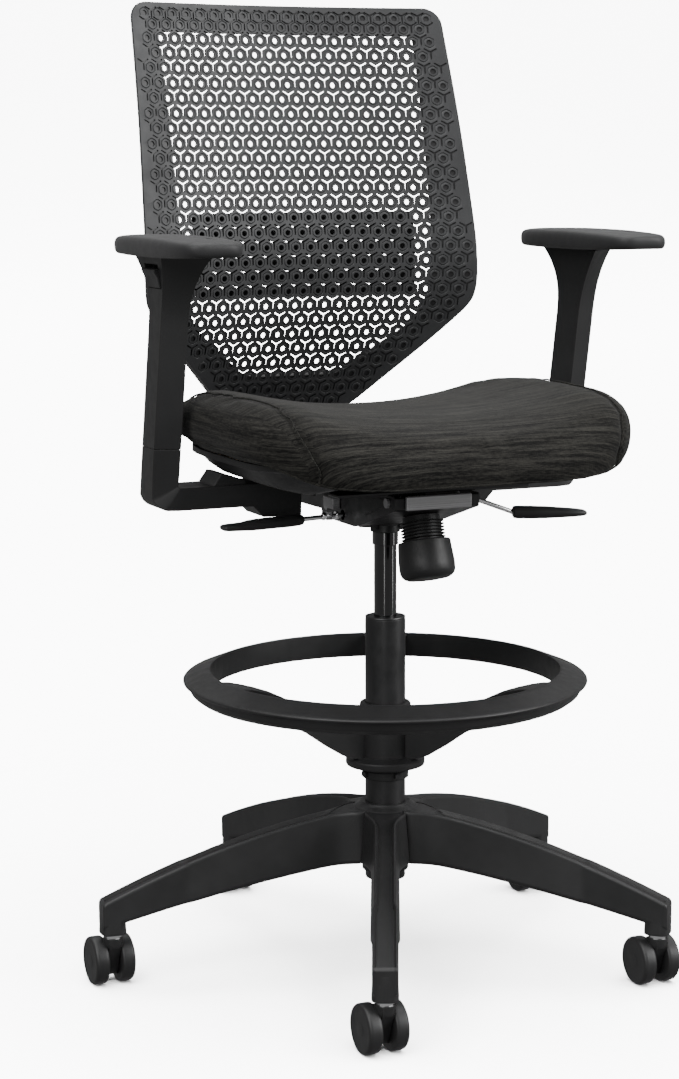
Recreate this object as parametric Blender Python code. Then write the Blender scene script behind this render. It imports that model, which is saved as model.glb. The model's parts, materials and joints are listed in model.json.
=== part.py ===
"""Drafting chair: caster base, gas column with foot ring, tilt mechanism, seat, arms and moulded back.

Lengths are in metres and +Z is up. Everything is designed about the column's axis, with -Y the way the
sitter faces and +X the sitter's left, and hangs from one empty that stands the chair on the origin.
"""

import math

import bmesh
import bpy
from mathutils import Matrix, Vector

# ------------------------------------------------------------------ driving dimensions

FIT = 0.0003
BOX_CENTRE = Vector((-0.0205192, 0.0258184, 0.0))

LEG_COUNT = 5
LEG_START = math.radians(-115)
SOCKET_RADIUS = 0.348
SOCKET_BOTTOM = 0.0657
HUB_TOP = 0.204
LEG_HALF_WIDTH = 0.015

WHEEL_RADIUS = 0.0295
WHEEL_SIDES = 20
WHEEL_INNER = 0.0082
WHEEL_OUTER = 0.025
CASTER_TRAIL = 0.0145

TUBE_RADIUS = 0.025
TUBE_BORE = 0.0215
TUBE_BOTTOM = 0.105
TUBE_TOP = 0.438
PISTON_RADIUS = 0.014
PISTON_TOP = 0.577
COLLAR_RADIUS = 0.016

RING_INNER = 0.2161
RING_OUTER = 0.250
RING_TOP = 0.3739
SPOKE_ANGLES = [LEG_START + math.radians(turn) for turn in (-60, 60, 180)]

HOUSING_HALF = 0.055
WALL = 0.0025
FRONT_FACE = -0.145
SEAT_PIVOT = Vector((0, -0.125, 0.597))
RECLINE_PIVOT = Vector((0, 0.050, 0.572))
SHAFT_RADIUS = 0.006

KNOB_TOP = Vector((0, -0.109, 0.546))
KNOB_TILT = math.radians(17)
KNOB_RADIUS = 0.032
KNOB_HEIGHT = 0.046
THREAD_PITCH = 0.0038

HEIGHT_LEVER = Vector((-HOUSING_HALF, 0.005, 0.566))
TILT_LEVER = Vector((HOUSING_HALF, -0.095, 0.595))

SEAT_CENTRE_Y = -0.045
SEAT_HALF_WIDTH = 0.250
SEAT_HALF_DEPTH = 0.221
SEAT_SQUARENESS = 3.6
SEAT_BOTTOM = 0.6527
LIP_BOTTOM = 0.627
SEAT_CREST = 0.722

ARM_X = 0.274
ARM_LEAN = -0.196
ARM_HALF_WIDTH = 0.0145
ARM_SHOULDER = 0.655
ARM_POST_TOP = 0.800
ARM_BAR_Z = 0.594
ARM_BUTTON_Z = 0.862
PAD_BOTTOM = 0.8838
PAD_HALF = (0.040, 0.135)
PAD_CENTRE_Y = -0.018

BACK_BOTTOM = 0.660
BACK_TOP = 1.190
BACK_SPINE_LINE = [
    (0.655, 0.320), (0.71, 0.290), (0.76, 0.267), (0.82, 0.2515),
    (0.88, 0.2505), (0.95, 0.264), (1.05, 0.288), (1.19, 0.331),
]
BACK_WRAP = 0.8
SHELL_THICK = 0.004
FRAME_FRONT = 0.0054
FRAME_BACK = 0.0183
SPINE_GAP = 0.002
BAND_FRONT = 0.009
BAND_BACK = 0.0115
BAND_LOW = 0.823
BAND_HIGH = 0.923
BAND_HALF_WIDTH = 0.155
BAND_MIDDLE = 0.873
BOLT_X = 0.045
BOLT_Z = 0.684

# ------------------------------------------------------------------ finishes

BLACK = (0.020, 0.020, 0.021)
FINISHES = {
    "black_nylon": (BLACK, 0.48, 0.0),
    "black_pad": ((0.024, 0.024, 0.025), 0.62, 0.0),
    "shell_plastic": ((0.035, 0.036, 0.038), 0.50, 0.0),
    "black_gloss": ((0.010, 0.010, 0.011), 0.18, 0.3),
    "black_steel": ((0.016, 0.016, 0.017), 0.42, 0.4),
    "grey_steel": ((0.17, 0.17, 0.175), 0.42, 0.7),
    "chrome": ((0.55, 0.55, 0.56), 0.14, 1.0),
    "spring_steel": ((0.22, 0.22, 0.23), 0.35, 1.0),
    "charcoal_fabric": ((0.018, 0.018, 0.017), 0.92, 0.0),
    "plywood": ((0.42, 0.30, 0.18), 0.70, 0.0),
}


def finish(name):
    """The named finish, made on first use."""
    if name in bpy.data.materials:
        return bpy.data.materials[name]
    colour, roughness, metallic = FINISHES[name]
    material = bpy.data.materials.new(name)
    material.use_nodes = True
    shader = material.node_tree.nodes["Principled BSDF"]
    shader.inputs["Base Color"].default_value = (*colour, 1.0)
    shader.inputs["Roughness"].default_value = roughness
    shader.inputs["Metallic"].default_value = metallic
    return material


# ------------------------------------------------------------------ pivots and pieces

PLACES = {}


def clear_scene():
    for item in list(bpy.data.objects):
        bpy.data.objects.remove(item, do_unlink=True)


def pivot(name, place, parent=None):
    """An empty on a joint's axis. Its place is given in the column's frame."""
    empty = bpy.data.objects.new(name, None)
    empty.empty_display_size = 0.03
    bpy.context.scene.collection.objects.link(empty)
    PLACES[name] = Vector(place)
    if parent:
        empty.parent = bpy.data.objects[parent]
        empty.location = PLACES[name] - PLACES[parent]
    else:
        empty.location = PLACES[name]
    return name


def close_up(shape):
    bmesh.ops.remove_doubles(shape, verts=shape.verts, dist=1e-6)
    bmesh.ops.recalc_face_normals(shape, faces=shape.faces)
    return shape


def piece(name, shape, material, parent):
    """Turns a shape in the column's frame into an object whose origin is its pivot."""
    close_up(shape)
    bmesh.ops.translate(shape, verts=shape.verts, vec=-PLACES[parent])
    mesh = bpy.data.meshes.new(name)
    shape.to_mesh(mesh)
    shape.free()
    mesh.materials.append(finish(material))
    mesh.shade_smooth()
    mesh.set_sharp_from_angle(angle=math.radians(35))
    result = bpy.data.objects.new(name, mesh)
    bpy.context.scene.collection.objects.link(result)
    result.parent = bpy.data.objects[parent]
    return result


def combine(target, shapes, operation):
    """Adds a Boolean of one or more helper shapes, which stay in the scene as wires."""
    helpers = bpy.data.collections.new(f"{target.name}_{operation.lower()}")
    bpy.context.scene.collection.children.link(helpers)
    for number, shape in enumerate(shapes):
        close_up(shape)
        bmesh.ops.translate(shape, verts=shape.verts, vec=-PLACES[target.parent.name])
        mesh = bpy.data.meshes.new(f"{helpers.name}_{number}")
        shape.to_mesh(mesh)
        shape.free()
        helper = bpy.data.objects.new(mesh.name, mesh)
        helpers.objects.link(helper)
        helper.parent = target.parent
        helper.hide_render = True
        helper.display_type = "WIRE"
    modifier = target.modifiers.new(operation.title(), "BOOLEAN")
    modifier.operation = operation
    modifier.operand_type = "COLLECTION"
    modifier.collection = helpers
    modifier.solver = "EXACT"


def soften(target, width, segments=1):
    """Rounds the hard edges of a piece."""
    modifier = target.modifiers.new("Soft edges", "BEVEL")
    modifier.width = width
    modifier.segments = segments
    modifier.limit_method = "ANGLE"
    modifier.angle_limit = math.radians(50)


# ------------------------------------------------------------------ shapes


def turned(profile, sides, phase=0.0):
    """A profile of (radius, height) turned about Z; it closes on itself when it stays off the axis."""
    shape = bmesh.new()
    points = [shape.verts.new((radius, 0, height)) for radius, height in profile]
    for first, second in zip(points, points[1:]):
        shape.edges.new((first, second))
    if min(radius for radius, _ in profile) > 0:
        shape.edges.new((points[-1], points[0]))
    bmesh.ops.spin(
        shape, geom=shape.verts[:] + shape.edges[:], cent=(0, 0, 0), axis=(0, 0, 1),
        angle=math.tau, steps=sides, use_merge=True,
    )
    bmesh.ops.rotate(shape, verts=shape.verts, cent=(0, 0, 0), matrix=Matrix.Rotation(phase, 3, "Z"))
    return close_up(shape)


def disc(radius, low, high, sides=16):
    return turned([(0, low), (radius, low), (radius, high), (0, high)], sides)


def prism(outline, low, high, place):
    """A flat outline pushed from low to high; place(a, b, c) turns outline points and height into 3D."""
    return loft([[place(a, b, level) for a, b in outline] for level in (low, high)])


def loft(rings):
    """Skins rings of equally many points, and caps the first and the last."""
    shape = bmesh.new()
    rows = [[shape.verts.new(point) for point in ring] for ring in rings]
    for lower, upper in zip(rows, rows[1:]):
        for index in range(len(lower)):
            after = (index + 1) % len(lower)
            shape.faces.new((lower[index], lower[after], upper[after], upper[index]))
    shape.faces.new(rows[0])
    shape.faces.new(rows[-1])
    return close_up(shape)


def moved(shape, matrix):
    bmesh.ops.transform(shape, verts=shape.verts, matrix=matrix)
    return shape


def rod(start, end, radius, sides=12):
    """A round bar between two points."""
    start, end = Vector(start), Vector(end)
    along = end - start
    turn = along.to_track_quat("Z", "Y").to_matrix().to_4x4()
    return moved(disc(radius, 0, along.length, sides), Matrix.Translation(start) @ turn)


def box(low, high):
    outline = [(low[0], low[1]), (high[0], low[1]), (high[0], high[1]), (low[0], high[1])]
    return prism(outline, low[2], high[2], lambda a, b, c: (a, b, c))


def squared_ring(half_x, half_y, centre_y, height, squareness=SEAT_SQUARENESS, count=24):
    """A ring of points between an ellipse and a rectangle."""
    ring = []
    for index in range(count):
        turn = math.tau * (index + 0.5) / count
        cosine, sine = math.cos(turn), math.sin(turn)
        x = half_x * math.copysign(abs(cosine) ** (2 / squareness), cosine)
        y = half_y * math.copysign(abs(sine) ** (2 / squareness), sine)
        ring.append((x, centre_y + y, height))
    return ring


def smooth_curve(points, at):
    """A value on a smooth curve through sorted (position, value) points."""
    last = len(points) - 2
    index = 0
    while index < last and at > points[index + 1][0]:
        index += 1
    (x1, y1), (x2, y2) = points[index], points[index + 1]
    x0, y0 = points[max(index - 1, 0)]
    x3, y3 = points[min(index + 2, last + 1)]
    slope_in = (y2 - y0) / (x2 - x0) * (x2 - x1)
    slope_out = (y3 - y1) / (x3 - x1) * (x2 - x1)
    t = (at - x1) / (x2 - x1)
    return (
        (2 * t**3 - 3 * t**2 + 1) * y1 + (t**3 - 2 * t**2 + t) * slope_in
        + (3 * t**2 - 2 * t**3) * y2 + (t**3 - t**2) * slope_out
    )


# ------------------------------------------------------------------ star base and casters


def leg_top(radius):
    return 0.1995 - 0.093 * (radius / 0.36) ** 1.7


def leg_bottom(radius):
    return 0.134 - 0.053 * (radius / 0.33) ** 1.5


def leg_section(radius):
    """Leg section across its length: a deep bar with a shallow channel along its top."""
    flare = 0.007 * max(0.0, 1 - radius / 0.09) ** 2
    half = LEG_HALF_WIDTH + flare
    top, bottom = leg_top(radius), leg_bottom(radius)
    channel = 0.005 * min(1.0, max(0.0, (radius - 0.06) / 0.03), max(0.0, (0.34 - radius) / 0.03))
    right = [(half - 0.002, bottom), (half, top - 0.004), (half - 0.003, top), (half - 0.007, top - channel)]
    left = [(-across, height) for across, height in reversed(right)]
    return [(radius, across, height) for across, height in right + left]


def leg(angle):
    shape = loft([leg_section(radius) for radius in (0.030, 0.06, 0.09, 0.17, 0.25, 0.31, 0.34, 0.3615)])
    return moved(shape, Matrix.Rotation(angle, 4, "Z"))


def socket_place(number):
    angle = LEG_START + math.tau * number / LEG_COUNT
    return angle, Vector((SOCKET_RADIUS * math.cos(angle), SOCKET_RADIUS * math.sin(angle), 0))


def socket(place):
    shape = disc(0.0145, SOCKET_BOTTOM, 0.1045, 12)
    return moved(shape, Matrix.Translation(place))


def make_star_base():
    hub = turned(
        [
            (TUBE_RADIUS + FIT, 0.1165), (0.0285, 0.1165), (0.0300, 0.128), (0.043, 0.134),
            (0.043, 0.190), (0.038, 0.1985), (0.031, HUB_TOP), (TUBE_RADIUS + FIT, HUB_TOP),
        ],
        24,
    )
    base = piece("star_base", hub, "black_nylon", "base_pivot")
    places = [socket_place(number) for number in range(LEG_COUNT)]
    combine(base, [leg(angle) for angle, _ in places] + [socket(place) for _, place in places], "UNION")
    holes = [moved(disc(0.0058, 0.05, 0.0985, 12), Matrix.Translation(place)) for _, place in places]
    combine(base, holes + [disc(TUBE_RADIUS + FIT, 0.09, 0.22, 24)], "DIFFERENCE")


def hood_outline():
    """Side view of the caster's hood about its axle: stem boss in front, fender over the back."""
    front = [(-0.0245, 0.0602), (-0.0245, 0.049), (-0.0150, 0.036), (-0.0105, 0.020)]
    under = [(0.0105, 0.0085), (0.0200, 0.0165)]
    over = [(0.0225, 0.0295), (0.0200, 0.0410), (0.0120, 0.0505), (-0.0045, 0.0602)]
    return front + [(-0.0040, 0.0105)] + under + over


def wheel_shape(side):
    """One wheel about the X axis, with a flat of its tread straight down."""
    rim = WHEEL_RADIUS / math.cos(math.pi / WHEEL_SIDES)
    profile = [
        (0, WHEEL_OUTER), (0.0260, WHEEL_OUTER), (rim, WHEEL_OUTER - 0.0040),
        (rim, WHEEL_INNER + 0.0020), (0.0270, WHEEL_INNER), (0.0044, WHEEL_INNER),
        (0.0044, WHEEL_OUTER - 0.0022), (0, WHEEL_OUTER - 0.0022),
    ]
    shape = turned(profile, WHEEL_SIDES, math.pi / WHEEL_SIDES)
    return moved(shape, Matrix.Rotation(side * math.pi / 2, 4, "Y"))


def make_caster(number):
    _, place = socket_place(number)
    swivel = pivot(f"caster_{number}_swivel", place, "base_pivot")
    axle_place = place + Vector((0, CASTER_TRAIL, WHEEL_RADIUS))
    axle = pivot(f"caster_{number}_axle", axle_place, swivel)
    stem = turned(
        [
            (0, 0.046), (0.005, 0.046), (0.005, 0.0605), (0.0105, 0.0605), (0.0105, 0.0648),
            (0.0055, 0.0654), (0.0055, 0.097), (0, 0.097),
        ],
        12,
    )
    piece(f"caster_{number}_stem", moved(stem, Matrix.Translation(place)), "chrome", swivel)
    trail = place + Vector((0, CASTER_TRAIL, 0))
    hood = prism(hood_outline(), -0.0075, 0.0075, lambda a, b, c: trail + Vector((c, a, b)))
    hood = piece(f"caster_{number}_hood", hood, "black_nylon", swivel)
    reach = Vector((0.022, 0, 0))
    combine(hood, [rod(axle_place - reach, axle_place + reach, 0.004)], "UNION")
    combine(hood, [moved(disc(0.0053, 0.0455, 0.08, 12), Matrix.Translation(place))], "DIFFERENCE")
    for side, label in ((1, "left"), (-1, "right")):
        wheel = moved(wheel_shape(side), Matrix.Translation(axle_place))
        piece(f"caster_{number}_wheel_{label}", wheel, "black_nylon", axle)


# ------------------------------------------------------------------ column and foot ring


def make_column():
    tube = [
        (0, TUBE_BOTTOM), (0.0235, TUBE_BOTTOM), (TUBE_RADIUS, TUBE_BOTTOM + 0.002),
        (TUBE_RADIUS, TUBE_TOP - 0.001), (TUBE_RADIUS - 0.001, TUBE_TOP), (TUBE_BORE, TUBE_TOP),
        (TUBE_BORE, TUBE_BOTTOM + 0.004), (0, TUBE_BOTTOM + 0.004),
    ]
    piece("column_tube", turned(tube, 24), "black_steel", "base_pivot")
    bush = [
        (PISTON_RADIUS + FIT, 0.360), (TUBE_BORE - 0.0004, 0.360),
        (TUBE_BORE - 0.0004, TUBE_TOP - 0.0005), (PISTON_RADIUS + FIT, TUBE_TOP - 0.0005),
    ]
    piece("column_bush", turned(bush, 20), "black_nylon", "base_pivot")
    gas_rod = [
        (0, TUBE_BOTTOM + 0.0043), (0.007, TUBE_BOTTOM + 0.0043), (0.007, TUBE_BOTTOM + 0.008),
        (0.004, TUBE_BOTTOM + 0.008), (0.004, 0.355), (0, 0.355),
    ]
    piece("gas_rod", turned(gas_rod, 12), "chrome", "base_pivot")
    clip = [(0.0043, 0.1145), (0.0095, 0.1145), (0.0095, 0.116), (0.0043, 0.116)]
    piece("rod_clip", turned(clip, 16), "spring_steel", "base_pivot")


def make_piston():
    profile = [
        (0, PISTON_TOP), (0.0128, PISTON_TOP), (0.0136, 0.5428), (COLLAR_RADIUS, 0.5428),
        (COLLAR_RADIUS, 0.5272), (PISTON_RADIUS, 0.5262), (PISTON_RADIUS, 0.200),
        (0.0090, 0.200), (0.0090, 0.500), (0, 0.500),
    ]
    piece("piston_rod", turned(profile, 20), "black_gloss", "lift_pivot")


def ring_profile():
    return [
        (RING_INNER, RING_TOP), (RING_OUTER - 0.002, 0.3628), (RING_OUTER, 0.3612), (RING_OUTER, 0.3590),
        (0.2435, 0.3560), (0.2405, 0.3475), (0.2330, 0.3415), (RING_INNER + 0.0008, 0.3415),
    ]


def spoke(angle):
    """An upright web from the hub to the ring, which spreads sideways where it meets the ring."""
    rings = []
    for radius, low, high, foot, head in (
        (0.026, 0.259, 0.305, 0.006, 0.006), (0.060, 0.2670, 0.316, 0.0045, 0.006),
        (0.120, 0.3083, 0.340, 0.004, 0.0075), (0.165, 0.3330, 0.361, 0.004, 0.011),
        (0.195, 0.3425, 0.3705, 0.005, 0.019), (0.2132, 0.3430, 0.3722, 0.007, 0.024),
    ):
        points = [(-foot, low), (foot, low), (head, high), (-head, high)]
        rings.append([(radius, across, height) for across, height in points])
    return moved(loft(rings), Matrix.Rotation(angle, 4, "Z"))


def make_foot_ring():
    piece("foot_ring", turned(ring_profile(), 48), "black_nylon", "ring_pivot")
    bore = TUBE_RADIUS + 0.0008
    sleeve = [
        (bore, 0.2502), (0.0475, 0.2502), (0.049, 0.2520), (0.049, 0.2570), (0.0475, 0.2590),
        (0.0335, 0.2610), (0.0315, 0.3280), (bore, 0.3300),
    ]
    spider = piece("ring_spider", turned(sleeve, 24), "black_nylon", "ring_pivot")
    combine(spider, [spoke(angle) for angle in SPOKE_ANGLES], "UNION")
    combine(spider, [disc(bore, 0.24, 0.34, 24)], "DIFFERENCE")
    collar = [(bore, 0.2342), (0.0285, 0.2342), (0.0292, 0.2350), (0.0292, 0.2498), (bore, 0.2498)]
    piece("ring_lock_collar", turned(collar, 24), "black_nylon", "collar_pivot")


# ------------------------------------------------------------------ tilt mechanism


def side_view(a, b, c):
    """Puts an outline of (forward-back, height) points in the YZ plane at a distance across."""
    return (c, a, b)


def make_housing():
    outline = [
        (FRONT_FACE, 0.590), (-0.055, 0.5625), (-0.030, 0.556), (0.030, 0.556), (0.062, 0.556),
        (0.070, 0.562), (0.070, 0.579), (-0.100, 0.606), (FRONT_FACE, 0.606),
    ]
    hollow = [
        (FRONT_FACE + WALL, 0.5925), (-0.055, 0.5655), (-0.030, 0.559), (0.028, 0.559), (0.028, 0.540),
        (0.090, 0.540), (0.090, 0.620), (FRONT_FACE + WALL, 0.620),
    ]
    shape = prism(outline, -HOUSING_HALF, HOUSING_HALF, side_view)
    housing = piece("mech_housing", shape, "black_steel", "swivel_pivot")
    inner = HOUSING_HALF - WALL
    combine(housing, [prism(hollow, -inner, inner, side_view)], "DIFFERENCE")
    combine(housing, [disc(0.0185, 0.5432, 0.582, 16)], "UNION")
    taper = turned([(0, 0.530), (0.0140, 0.530), (0.0140, PISTON_TOP + 0.001), (0, PISTON_TOP + 0.001)], 20)
    screw = rod(on_knob_axis(0.02), on_knob_axis(0.055), 0.0065)
    across = Vector((HOUSING_HALF + 0.01, 0, 0))
    pivots = (SEAT_PIVOT, RECLINE_PIVOT)
    shafts = [rod(place - across, place + across, SHAFT_RADIUS + FIT) for place in pivots]
    inward = Vector((0.01, 0, 0))
    levers = [rod(place - inward, place + inward, 0.0065) for place in (HEIGHT_LEVER, TILT_LEVER)]
    combine(housing, [taper, screw] + shafts + levers, "DIFFERENCE")


def make_mechanism_plates():
    front = box((-0.0425, FRONT_FACE - 0.006, 0.590), (0.0425, FRONT_FACE - FIT, 0.607))
    soften(piece("front_plate", front, "grey_steel", "swivel_pivot"), 0.0012)
    edge = -HOUSING_HALF - FIT
    side = box((edge - 0.010, 0.012, 0.572), (edge, 0.041, 0.586))
    soften(piece("side_plate", side, "grey_steel", "swivel_pivot"), 0.001)
    half = Vector((HOUSING_HALF + 0.003, 0, 0))
    for name, place in (("front_shaft", SEAT_PIVOT), ("rear_shaft", RECLINE_PIVOT)):
        piece(name, rod(place - half, place + half, SHAFT_RADIUS), "grey_steel", "swivel_pivot")


def spring_shape():
    """A close coil lying across the housing, swept as one tube along its helix."""
    turns, per_turn, sides = 7, 8, 5
    coil, wire, length = 0.013, 0.002, 0.070
    centre = Vector((0, -0.045, 0.5815))
    rings = []
    for step in range(turns * per_turn + 1):
        turn = math.tau * step / per_turn
        outward = Vector((0, math.cos(turn), math.sin(turn)))
        across = Vector((1, 0, 0))
        middle = centre + outward * coil + across * (length * (step / (turns * per_turn) - 0.5))
        ring = []
        for side in range(sides):
            angle = math.tau * side / sides
            ring.append(middle + wire * (math.cos(angle) * outward + math.sin(angle) * across))
        rings.append(ring)
    return loft(rings)


def on_knob_axis(height):
    """The point this far above the knob's top face along its leaning axis."""
    return KNOB_TOP + height * Vector((0, math.sin(KNOB_TILT), math.cos(KNOB_TILT)))


def on_knob(shape):
    return moved(shape, Matrix.Translation(KNOB_TOP) @ Matrix.Rotation(-KNOB_TILT, 4, "X"))


def make_tension_adjuster():
    piece("recline_spring", spring_shape(), "spring_steel", "swivel_pivot")
    thread = []
    for rib in range(9):
        height = -0.008 + rib * THREAD_PITCH
        thread += [(0.0265, height), (0.0222, height + THREAD_PITCH / 2)]
    profile = [(0.0195, -0.010), (0.0222, -0.010)] + thread + [(0.0222, 0.0300), (0.0195, 0.0300)]
    piece("tension_sleeve", on_knob(turned(profile, 16)), "black_nylon", "swivel_pivot")
    knob = [
        (0, -KNOB_HEIGHT), (0.022, -KNOB_HEIGHT),
        (0.0300, -KNOB_HEIGHT + 0.004), (0.0334, -KNOB_HEIGHT + 0.012),
        (KNOB_RADIUS, -0.003), (KNOB_RADIUS, 0), (0.0276, 0), (0.0276, -0.015), (0.0053, -0.015),
        (0.0053, -0.031), (0, -0.031),
    ]
    piece("tension_knob", on_knob(turned(knob, 20)), "black_nylon", "knob_pivot")
    screw = disc(0.005, -0.0305, 0.046, 12)
    piece("tension_screw", on_knob(screw), "spring_steel", "knob_pivot")


def paddle(start, end, half_width, half_height, across):
    """A flat grip that swells from its neck to the middle and thins to its tip."""
    start, end, across = Vector(start), Vector(end), Vector(across)
    rings = []
    for along, width, height in (
        (0, 0.62, 0.85), (0.03, 0.72, 1.0), (0.3, 0.92, 1.0), (0.62, 1.0, 0.8),
        (0.88, 0.88, 0.5), (0.97, 0.6, 0.34), (1.0, 0.3, 0.2),
    ):
        middle = start.lerp(end, along)
        ring = []
        for index in range(10):
            turn = math.tau * (index + 0.5) / 10
            side = across * (half_width * width * math.cos(turn))
            rise = Vector((0, 0, half_height * height * math.sin(turn)))
            ring.append(middle + side + rise)
        rings.append(ring)
    return loft(rings)


def make_levers():
    hinge = HEIGHT_LEVER
    neck = Vector((-0.108, 0.005, 0.5635))
    tip = Vector((-0.213, 0.003, 0.5590))
    shaft = rod(hinge + Vector((0.009, 0, 0)), hinge - Vector((0.066, 0, 0.0025)), 0.003, 10)
    lever = piece("height_lever_rod", shaft, "chrome", "height_lever_pivot")
    clevis = rod(hinge - Vector((0.008, 0, 0.0004)), hinge - Vector((0.020, 0, 0.0008)), 0.0058, 8)
    combine(lever, [clevis], "UNION")
    shape = paddle(neck, tip, 0.0125, 0.0070, (0, 1, 0))
    grip = piece("height_lever_paddle", shape, "black_nylon", "height_lever_pivot")
    blind = rod(hinge - Vector((0.02, 0, 0.0008)), hinge - Vector((0.0665, 0, 0.0025)), 0.0034, 10)
    combine(grip, [blind], "DIFFERENCE")

    elbow = Vector((0.064, -0.095, 0.595))
    grip_start = Vector((0.124, -0.0995, 0.5722))
    grip_end = Vector((0.212, -0.1235, 0.5695))
    along = (grip_start - elbow).normalized()
    bent = rod(TILT_LEVER - Vector((0.006, 0, 0)), elbow + Vector((0.0008, 0, 0)), 0.003, 10)
    lever = piece("tilt_lever_rod", bent, "chrome", "tilt_lever_pivot")
    straight = rod(elbow - along * 0.0008, grip_start + along * 0.010, 0.003, 10)
    ferrule = rod(elbow + along * 0.002, elbow + along * 0.012, 0.0052, 10)
    combine(lever, [straight, ferrule], "UNION")
    across = (grip_end - grip_start).cross(Vector((0, 0, 1))).normalized()
    shape = paddle(grip_start, grip_end, 0.0130, 0.0078, across)
    grip = piece("tilt_lever_paddle", shape, "black_nylon", "tilt_lever_pivot")
    combine(grip, [rod(grip_start - along * 0.02, grip_start + along * 0.0105, 0.0034, 10)], "DIFFERENCE")


# ------------------------------------------------------------------ seat


def make_seat_support():
    plate = box((-0.125, -0.140, 0.6085), (0.125, 0.105, 0.6125))
    soften(piece("seat_plate", plate, "black_steel", "seat_pivot"), 0.001)
    outer = [(0.165, 0.150, 0.6131), (0.195, 0.176, 0.6220), (0.217, 0.192, 0.6400), (0.229, 0.196, 0.6522)]
    inner = [(0.226, 0.193, 0.6522), (0.214, 0.189, 0.6400), (0.192, 0.173, 0.6245), (0.163, 0.148, 0.6158)]
    rings = [squared_ring(half_x, half_y, -0.030, height) for half_x, half_y, height in outer + inner]
    piece("seat_pan", loft(rings), "black_nylon", "seat_pivot")
    rings = [squared_ring(0.2115, 0.1865, -0.030, height) for height in (0.6400, 0.6520)]
    piece("seat_board", loft(rings), "plywood", "seat_pivot")


def cushion_section(y):
    """Cushion section across the seat: a dish between two crests, and a lip hanging over the front."""
    reach = abs((y - SEAT_CENTRE_Y) / SEAT_HALF_DEPTH)
    half = SEAT_HALF_WIDTH * max(1 - reach**SEAT_SQUARENESS, 0.0) ** (1 / SEAT_SQUARENESS)
    half = max(half, 0.12)
    forward = -(y - SEAT_CENTRE_Y) / SEAT_HALF_DEPTH
    crest = SEAT_CREST - 0.050 * max(forward, 0.0) ** 5 - 0.028 * max(-forward, 0.0) ** 2
    dish = 0.016 * (1 - reach**4) + 0.004
    bottom = SEAT_BOTTOM if y > -0.229 else LIP_BOTTOM
    waist = max((crest + bottom) / 2, bottom + 0.008)
    right = [
        (half * 0.80, bottom), (half * 0.95, bottom + 0.004), (half, waist), (half * 0.965, crest - 0.010),
        (half * 0.88, crest), (half * 0.55, crest - dish * 0.7), (half * 0.2, crest - dish),
    ]
    left = [(-x, z) for x, z in reversed(right)]
    return [(x, y, z) for x, z in right + left]


def make_cushion():
    front = SEAT_CENTRE_Y - SEAT_HALF_DEPTH
    back = SEAT_CENTRE_Y + SEAT_HALF_DEPTH
    stations = [front, front + 0.006, front + 0.018, front + 0.0365, front + 0.0372, -0.18, -0.11, -0.04]
    stations += [0.04, 0.10, 0.14, back - 0.014, back - 0.004, back]
    piece("seat_cushion", loft([cushion_section(y) for y in stations]), "charcoal_fabric", "seat_pivot")


# ------------------------------------------------------------------ arms


def arm_centre(height):
    return 0.026 + ARM_LEAN * (height - 0.75)


def arm_section(side, height, inset=0.0):
    """Upright section: the outer face is narrower, and its front edge is set back."""
    middle = arm_centre(height)
    inner = ARM_X - ARM_HALF_WIDTH + inset
    outer = ARM_X + ARM_HALF_WIDTH - inset
    points = [
        (inner, middle - 0.030 + inset), (outer, middle - 0.016 + inset),
        (outer, middle + 0.026 - inset), (inner, middle + 0.026 - inset),
    ]
    return [(side * x, y, height) for x, y in points]


def arm_bar_section(side, x_low, x_high, low, high):
    """Section of the bar under the seat, which may slant: x_low and x_high are its lower and upper edges."""
    middle = arm_centre(ARM_BAR_Z)
    front, back = middle - 0.030, middle + 0.026
    points = [(x_high, front, high), (x_low, front, low), (x_low, back, low), (x_high, back, high)]
    return [(side * x, y, z) for x, y, z in points]


def make_arm_bracket(side, parent, label):
    rings = [
        arm_bar_section(side, 0.100, 0.100, 0.566, 0.6075),
        arm_bar_section(side, 0.150, 0.150, 0.566, 0.6075),
        arm_bar_section(side, 0.160, 0.158, 0.580, 0.6075),
        arm_bar_section(side, 0.262, 0.245, 0.580, 0.6075),
    ]
    corner = arm_section(side, 0.620)
    elbow = [
        (side * 0.2565, corner[0][1], 0.6115), (side * 0.2815, corner[1][1], 0.5855),
        (side * 0.2815, corner[2][1], 0.5855), (side * 0.2565, corner[3][1], 0.6115),
    ]
    rings += [elbow, corner, arm_section(side, ARM_SHOULDER)]
    rings += [arm_section(side, ARM_SHOULDER, 0.004), arm_section(side, ARM_POST_TOP, 0.004)]
    piece(f"arm_bracket_{label}", loft(rings), "black_nylon", parent)


def flared_section(side, height, spread_x, front, back):
    """Section of the sleeve's head, spread towards the ends of the pad."""
    middle = arm_centre(height)
    inner, outer = ARM_X - spread_x, ARM_X + spread_x
    points = [
        (inner, middle - front), (outer, middle - front + 0.012),
        (outer, middle + back - 0.002), (inner, middle + back),
    ]
    return [(side * x, y, height) for x, y in points]


def make_arm_sleeve(side, parent, label):
    bottom = ARM_SHOULDER + 0.0005
    rings = [
        arm_section(side, ARM_POST_TOP + 0.0055, 0.003),
        arm_section(side, bottom, 0.003), arm_section(side, bottom),
        arm_section(side, 0.815), flared_section(side, 0.845, 0.0150, 0.036, 0.031),
        flared_section(side, 0.866, 0.0175, 0.050, 0.043), flared_section(side, 0.8795, 0.023, 0.072, 0.060),
        flared_section(side, PAD_BOTTOM - FIT, 0.024, 0.075, 0.063),
    ]
    sleeve = piece(f"arm_sleeve_{label}", loft(rings), "black_nylon", parent)
    middle = arm_centre(ARM_BUTTON_Z)
    outer = ARM_X + ARM_HALF_WIDTH
    near, far = sorted((side * (outer - 0.006), side * (outer + 0.02)))
    combine(sleeve, [box((near, middle - 0.0125, 0.8465), (far, middle + 0.0125, 0.8730))], "DIFFERENCE")


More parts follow.
